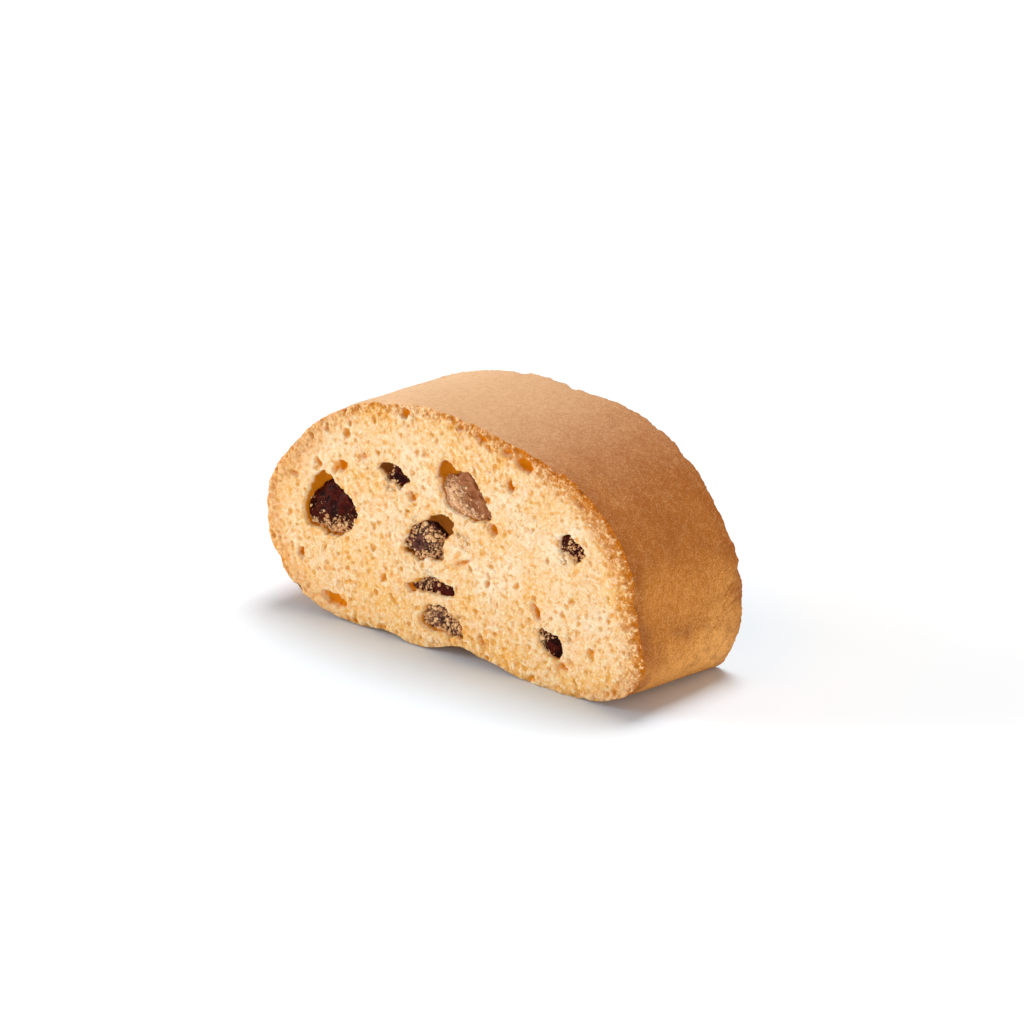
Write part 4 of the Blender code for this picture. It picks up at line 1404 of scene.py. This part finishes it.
    def material(self, name: str, glow: float) -> bpy.types.Material:
        """The whole finish.

        Args:
            name: the material's name.
            glow: how much of the light enters and spreads, from 0 to 1.

        Returns:
            The material.
        """
        g = Graph(name)
        from_rim = g.attribute("from_rim")
        outside = (from_rim + (g.noise(0.8, 3.0) - 0.5) * 0.5).rise(0.12, -0.12)
        colour = g.mixed(outside, self.crumb(g, from_rim), self.crust(g))
        fine = g.noise(0.24, 3.0, 0.7) * (1 - outside * 0.4) + g.noise(0.9, 2.0) * 0.3
        g.bump(fine, 0.12)
        roughness = 0.9 - outside * 0.2
        g.finish(subsurface_weight=glow, subsurface_radius=(1.0, 0.45, 0.16), subsurface_scale=0.8 * MM)
        return g.finish(base_color=colour, roughness=roughness, specular_ior_level=0.1)


@dataclass(frozen=True)
class RaisinFinish:
    """A raisin's skin: dark and sticky, paler on its folds, partly its own paler skin and partly painted
    highlight, dusted with crumb.
    """

    name: str
    deep: Colour
    # Paler on the folds' crests: partly the skin's own colour, partly painted highlight.
    ridge: Colour
    dust: Colour = (0.84, 0.50, 0.25)
    dusting: float = 0.0  # moves the share of the skin that dust covers
    roughness: float = 0.3
    grit: Colour = (0.50, 0.22, 0.08)

    def material(self) -> bpy.types.Material:
        """The whole finish."""
        g = Graph(self.name)
        ridge, crumbed = g.attribute("ridge"), g.attribute("crumbed")
        # Paler on the folds' crests, partly painted highlight.
        colour = g.mixed((ridge + (g.noise(0.7, 2.0) - 0.5) * 0.12).rise(-0.08, 0.06), self.deep, self.ridge)
        dusty = (g.noise(0.6, 5.0, 0.8) + crumbed * 0.36 + self.dusting).rise(0.75, 0.83)
        dust = g.mixed(g.noise(0.35, 3.0, 0.7).rise(0.4, 0.62), self.dust, self.grit)
        flecks = g.noise(0.28, 2.0, 0.6).rise(0.62, 0.7) * 0.16
        colour = g.mixed(dusty.highest(flecks), colour, dust)
        g.bump(g.noise(0.35, 3.0) + dusty * 0.6, 0.14)
        return g.finish(base_color=colour, roughness=self.roughness + dusty * 0.5, specular_ior_level=0.04)


@dataclass(frozen=True)
class CrumbFinish:
    """The loose crumbs: sugary tan, each its own tone."""

    pale: Colour = (0.98, 0.69, 0.37)
    tan: Colour = (0.58, 0.22, 0.05)

    def material(self) -> bpy.types.Material:
        """The whole finish."""
        g = Graph("loose_crumb")
        tone = g.attribute("tone") * 0.7 + g.noise(0.3, 2.0) * 0.3
        g.bump(g.noise(0.2, 2.0), 0.06)
        return g.finish(base_color=g.mixed(tone, self.tan, self.pale), roughness=0.75)


FRUIT_FINISHES = {
    Skin.DARK: RaisinFinish("raisin_dark", (0.015, 0.0007, 0.0003), (0.07, 0.006, 0.002)),
    Skin.BROWN: RaisinFinish(
        "raisin_brown",
        (0.27, 0.085, 0.028),
        (0.42, 0.165, 0.07),
        dust=(0.88, 0.57, 0.34),
        dusting=0.15,
        roughness=0.42,
        grit=(0.66, 0.34, 0.17),
    ),
    Skin.PURPLE: RaisinFinish("raisin_purple", (0.024, 0.005, 0.003), (0.14, 0.046, 0.034)),
}


# Floor, lights and camera.


@dataclass(frozen=True)
class Lamp:
    """A square light that looks at the slice."""

    name: str
    azimuth: float  # degrees round the slice: 0 in front of the near cut, 90 to its right
    elevation: float
    distance: float  # millimetres
    size: float
    watts: float
    colour: Colour = (1.0, 1.0, 1.0)


def placed_towards(name: str, data: object, target: Vector, place: tuple[float, ...]) -> bpy.types.Object:
    """A new lamp or camera that looks at a target.

    Args:
        name: its name.
        data: the light or camera that it holds.
        target: what it looks at, in millimetres.
        place: its azimuth and elevation in degrees, seen from the target, and its distance.

    Returns:
        The object.
    """
    azimuth, elevation = math.radians(place[0]), math.radians(place[1])
    level = math.cos(elevation)
    towards = Vector((math.sin(azimuth) * level, -math.cos(azimuth) * level, math.sin(elevation)))
    placed = bpy.data.objects.new(name, data)
    placed.location = (target + towards * place[2]) * MM
    placed.rotation_euler = towards.to_track_quat("Z", "Y").to_euler()
    bpy.context.scene.collection.objects.link(placed)
    return placed


@dataclass(frozen=True)
class Studio:
    """A white floor, soft lights and the camera at the photo's angle."""

    azimuth: float = 40.5
    elevation: float = 20.5
    lens: float = 150.0
    sensor: float = 36.0
    distance: float = 592.64
    target: tuple[float, float, float] = (11.62, -10.82, 24.86)  # at the picture's centre
    floor_half: float = 3000.0
    world_strength: float = 0.25
    world_colour: Colour = (0.98, 0.99, 1.01)
    floor_colour: Colour = (0.95, 0.95, 0.95)
    floor_shade: Colour = (0.80, 0.885, 0.965)  # round the slice, against the light that it throws back
    lamps: tuple[Lamp, ...] = (
        Lamp("key", -60.0, 15.0, 1300.0, 640.0, 9.3),
        Lamp("front", -4.0, 7.0, 900.0, 400.0, 2.1),
        Lamp("right", 72.0, 10.0, 900.0, 500.0, 2.3),
        Lamp("overhead", 190.0, 75.0, 1800.0, 860.0, 24.9),
    )

    def build(self) -> None:
        """Makes the floor, the lights, the world and the camera."""
        half = self.floor_half
        corners = np.array([[-half, -half, 0], [half, -half, 0], [half, half, 0], [-half, half, 0]])
        floor = mesh_object("floor", corners, [np.array([[0, 1, 2, 3]])])
        g = Graph("pale_floor")
        radius = g.value("ShaderNodeVectorMath", {"operation": "LENGTH"}, {0: g.coordinates}, "Value") / MM
        colour = g.mixed(radius.rise(52.0, 28.0), self.floor_colour, self.floor_shade)
        floor.data.materials.append(g.finish(base_color=colour, roughness=0.8))
        floor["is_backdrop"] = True
        middle = Vector((0.0, 0.0, 14.0))
        for lamp in self.lamps:
            light = bpy.data.lights.new(lamp.name, "AREA")
            light.size, light.energy, light.color = lamp.size * MM, lamp.watts, lamp.colour
            placed_towards(lamp.name, light, middle, (lamp.azimuth, lamp.elevation, lamp.distance))
        world = bpy.data.worlds.new("white")
        world.use_nodes = True
        background = world.node_tree.nodes["Background"]
        background.inputs["Color"].default_value = (*self.world_colour, 1)
        background.inputs["Strength"].default_value = self.world_strength
        bpy.context.scene.world = world
        bpy.context.scene.view_settings.view_transform = "Standard"
        camera = bpy.data.cameras.new("camera")
        camera.lens, camera.sensor_width = self.lens, self.sensor
        camera.clip_start, camera.clip_end = 0.01, 20.0
        seen_from = (self.azimuth, self.elevation, self.distance)
        bpy.context.scene.camera = placed_towards("camera", camera, Vector(self.target), seen_from)


def keep_size(label: str, box: tuple[Vector, Vector], sizes: dict[str, list[list[float]]]) -> None:
    """Notes a box under a label."""
    sizes[label] = [list(box[0]), list(box[1])]


def main() -> None:
    """Builds the looks in order, and reports each piece."""
    logging.basicConfig(level=logging.INFO, format="%(message)s")
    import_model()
    sizes: dict[str, list[list[float]]] = {}
    keep_size("cad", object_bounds(), sizes)
    Studio().build()

    baked = BakedFinish()
    slice_ = Slice(baked.material("torn_crumb", 0.4), baked.material("baked_crust", 0.0))
    slice_.build()
    for piece in slice_.pieces:
        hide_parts("biscuit")
        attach(piece, "root")
        log.info("%s: %d faces", piece.name, len(piece.data.polygons))

    finishes = {skin: finish.material() for skin, finish in FRUIT_FINISHES.items()}
    placed = [(raisin, NEAR) for raisin in NEAR_RAISINS] + [(raisin, FAR) for raisin in FAR_RAISINS]
    bodies = [RaisinBody(raisin, side, number) for number, (raisin, side) in enumerate(placed)]
    for body in bodies:
        piece = body.build()
        piece.data.materials.append(finishes[body.raisin.skin])
        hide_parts(body.raisin.name)
        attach(piece, "root")
        log.info("%s: %d faces", piece.name, len(piece.data.polygons))

    crumbs = Crumbs()
    crumbs.build(bodies)
    crumbs.piece.data.materials.append(CrumbFinish().material())
    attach(crumbs.piece, "root")
    log.info("%s: %d faces", crumbs.piece.name, len(crumbs.piece.data.polygons))
    keep_size("visual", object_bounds(), sizes)


if __name__ == "__main__":
    main()
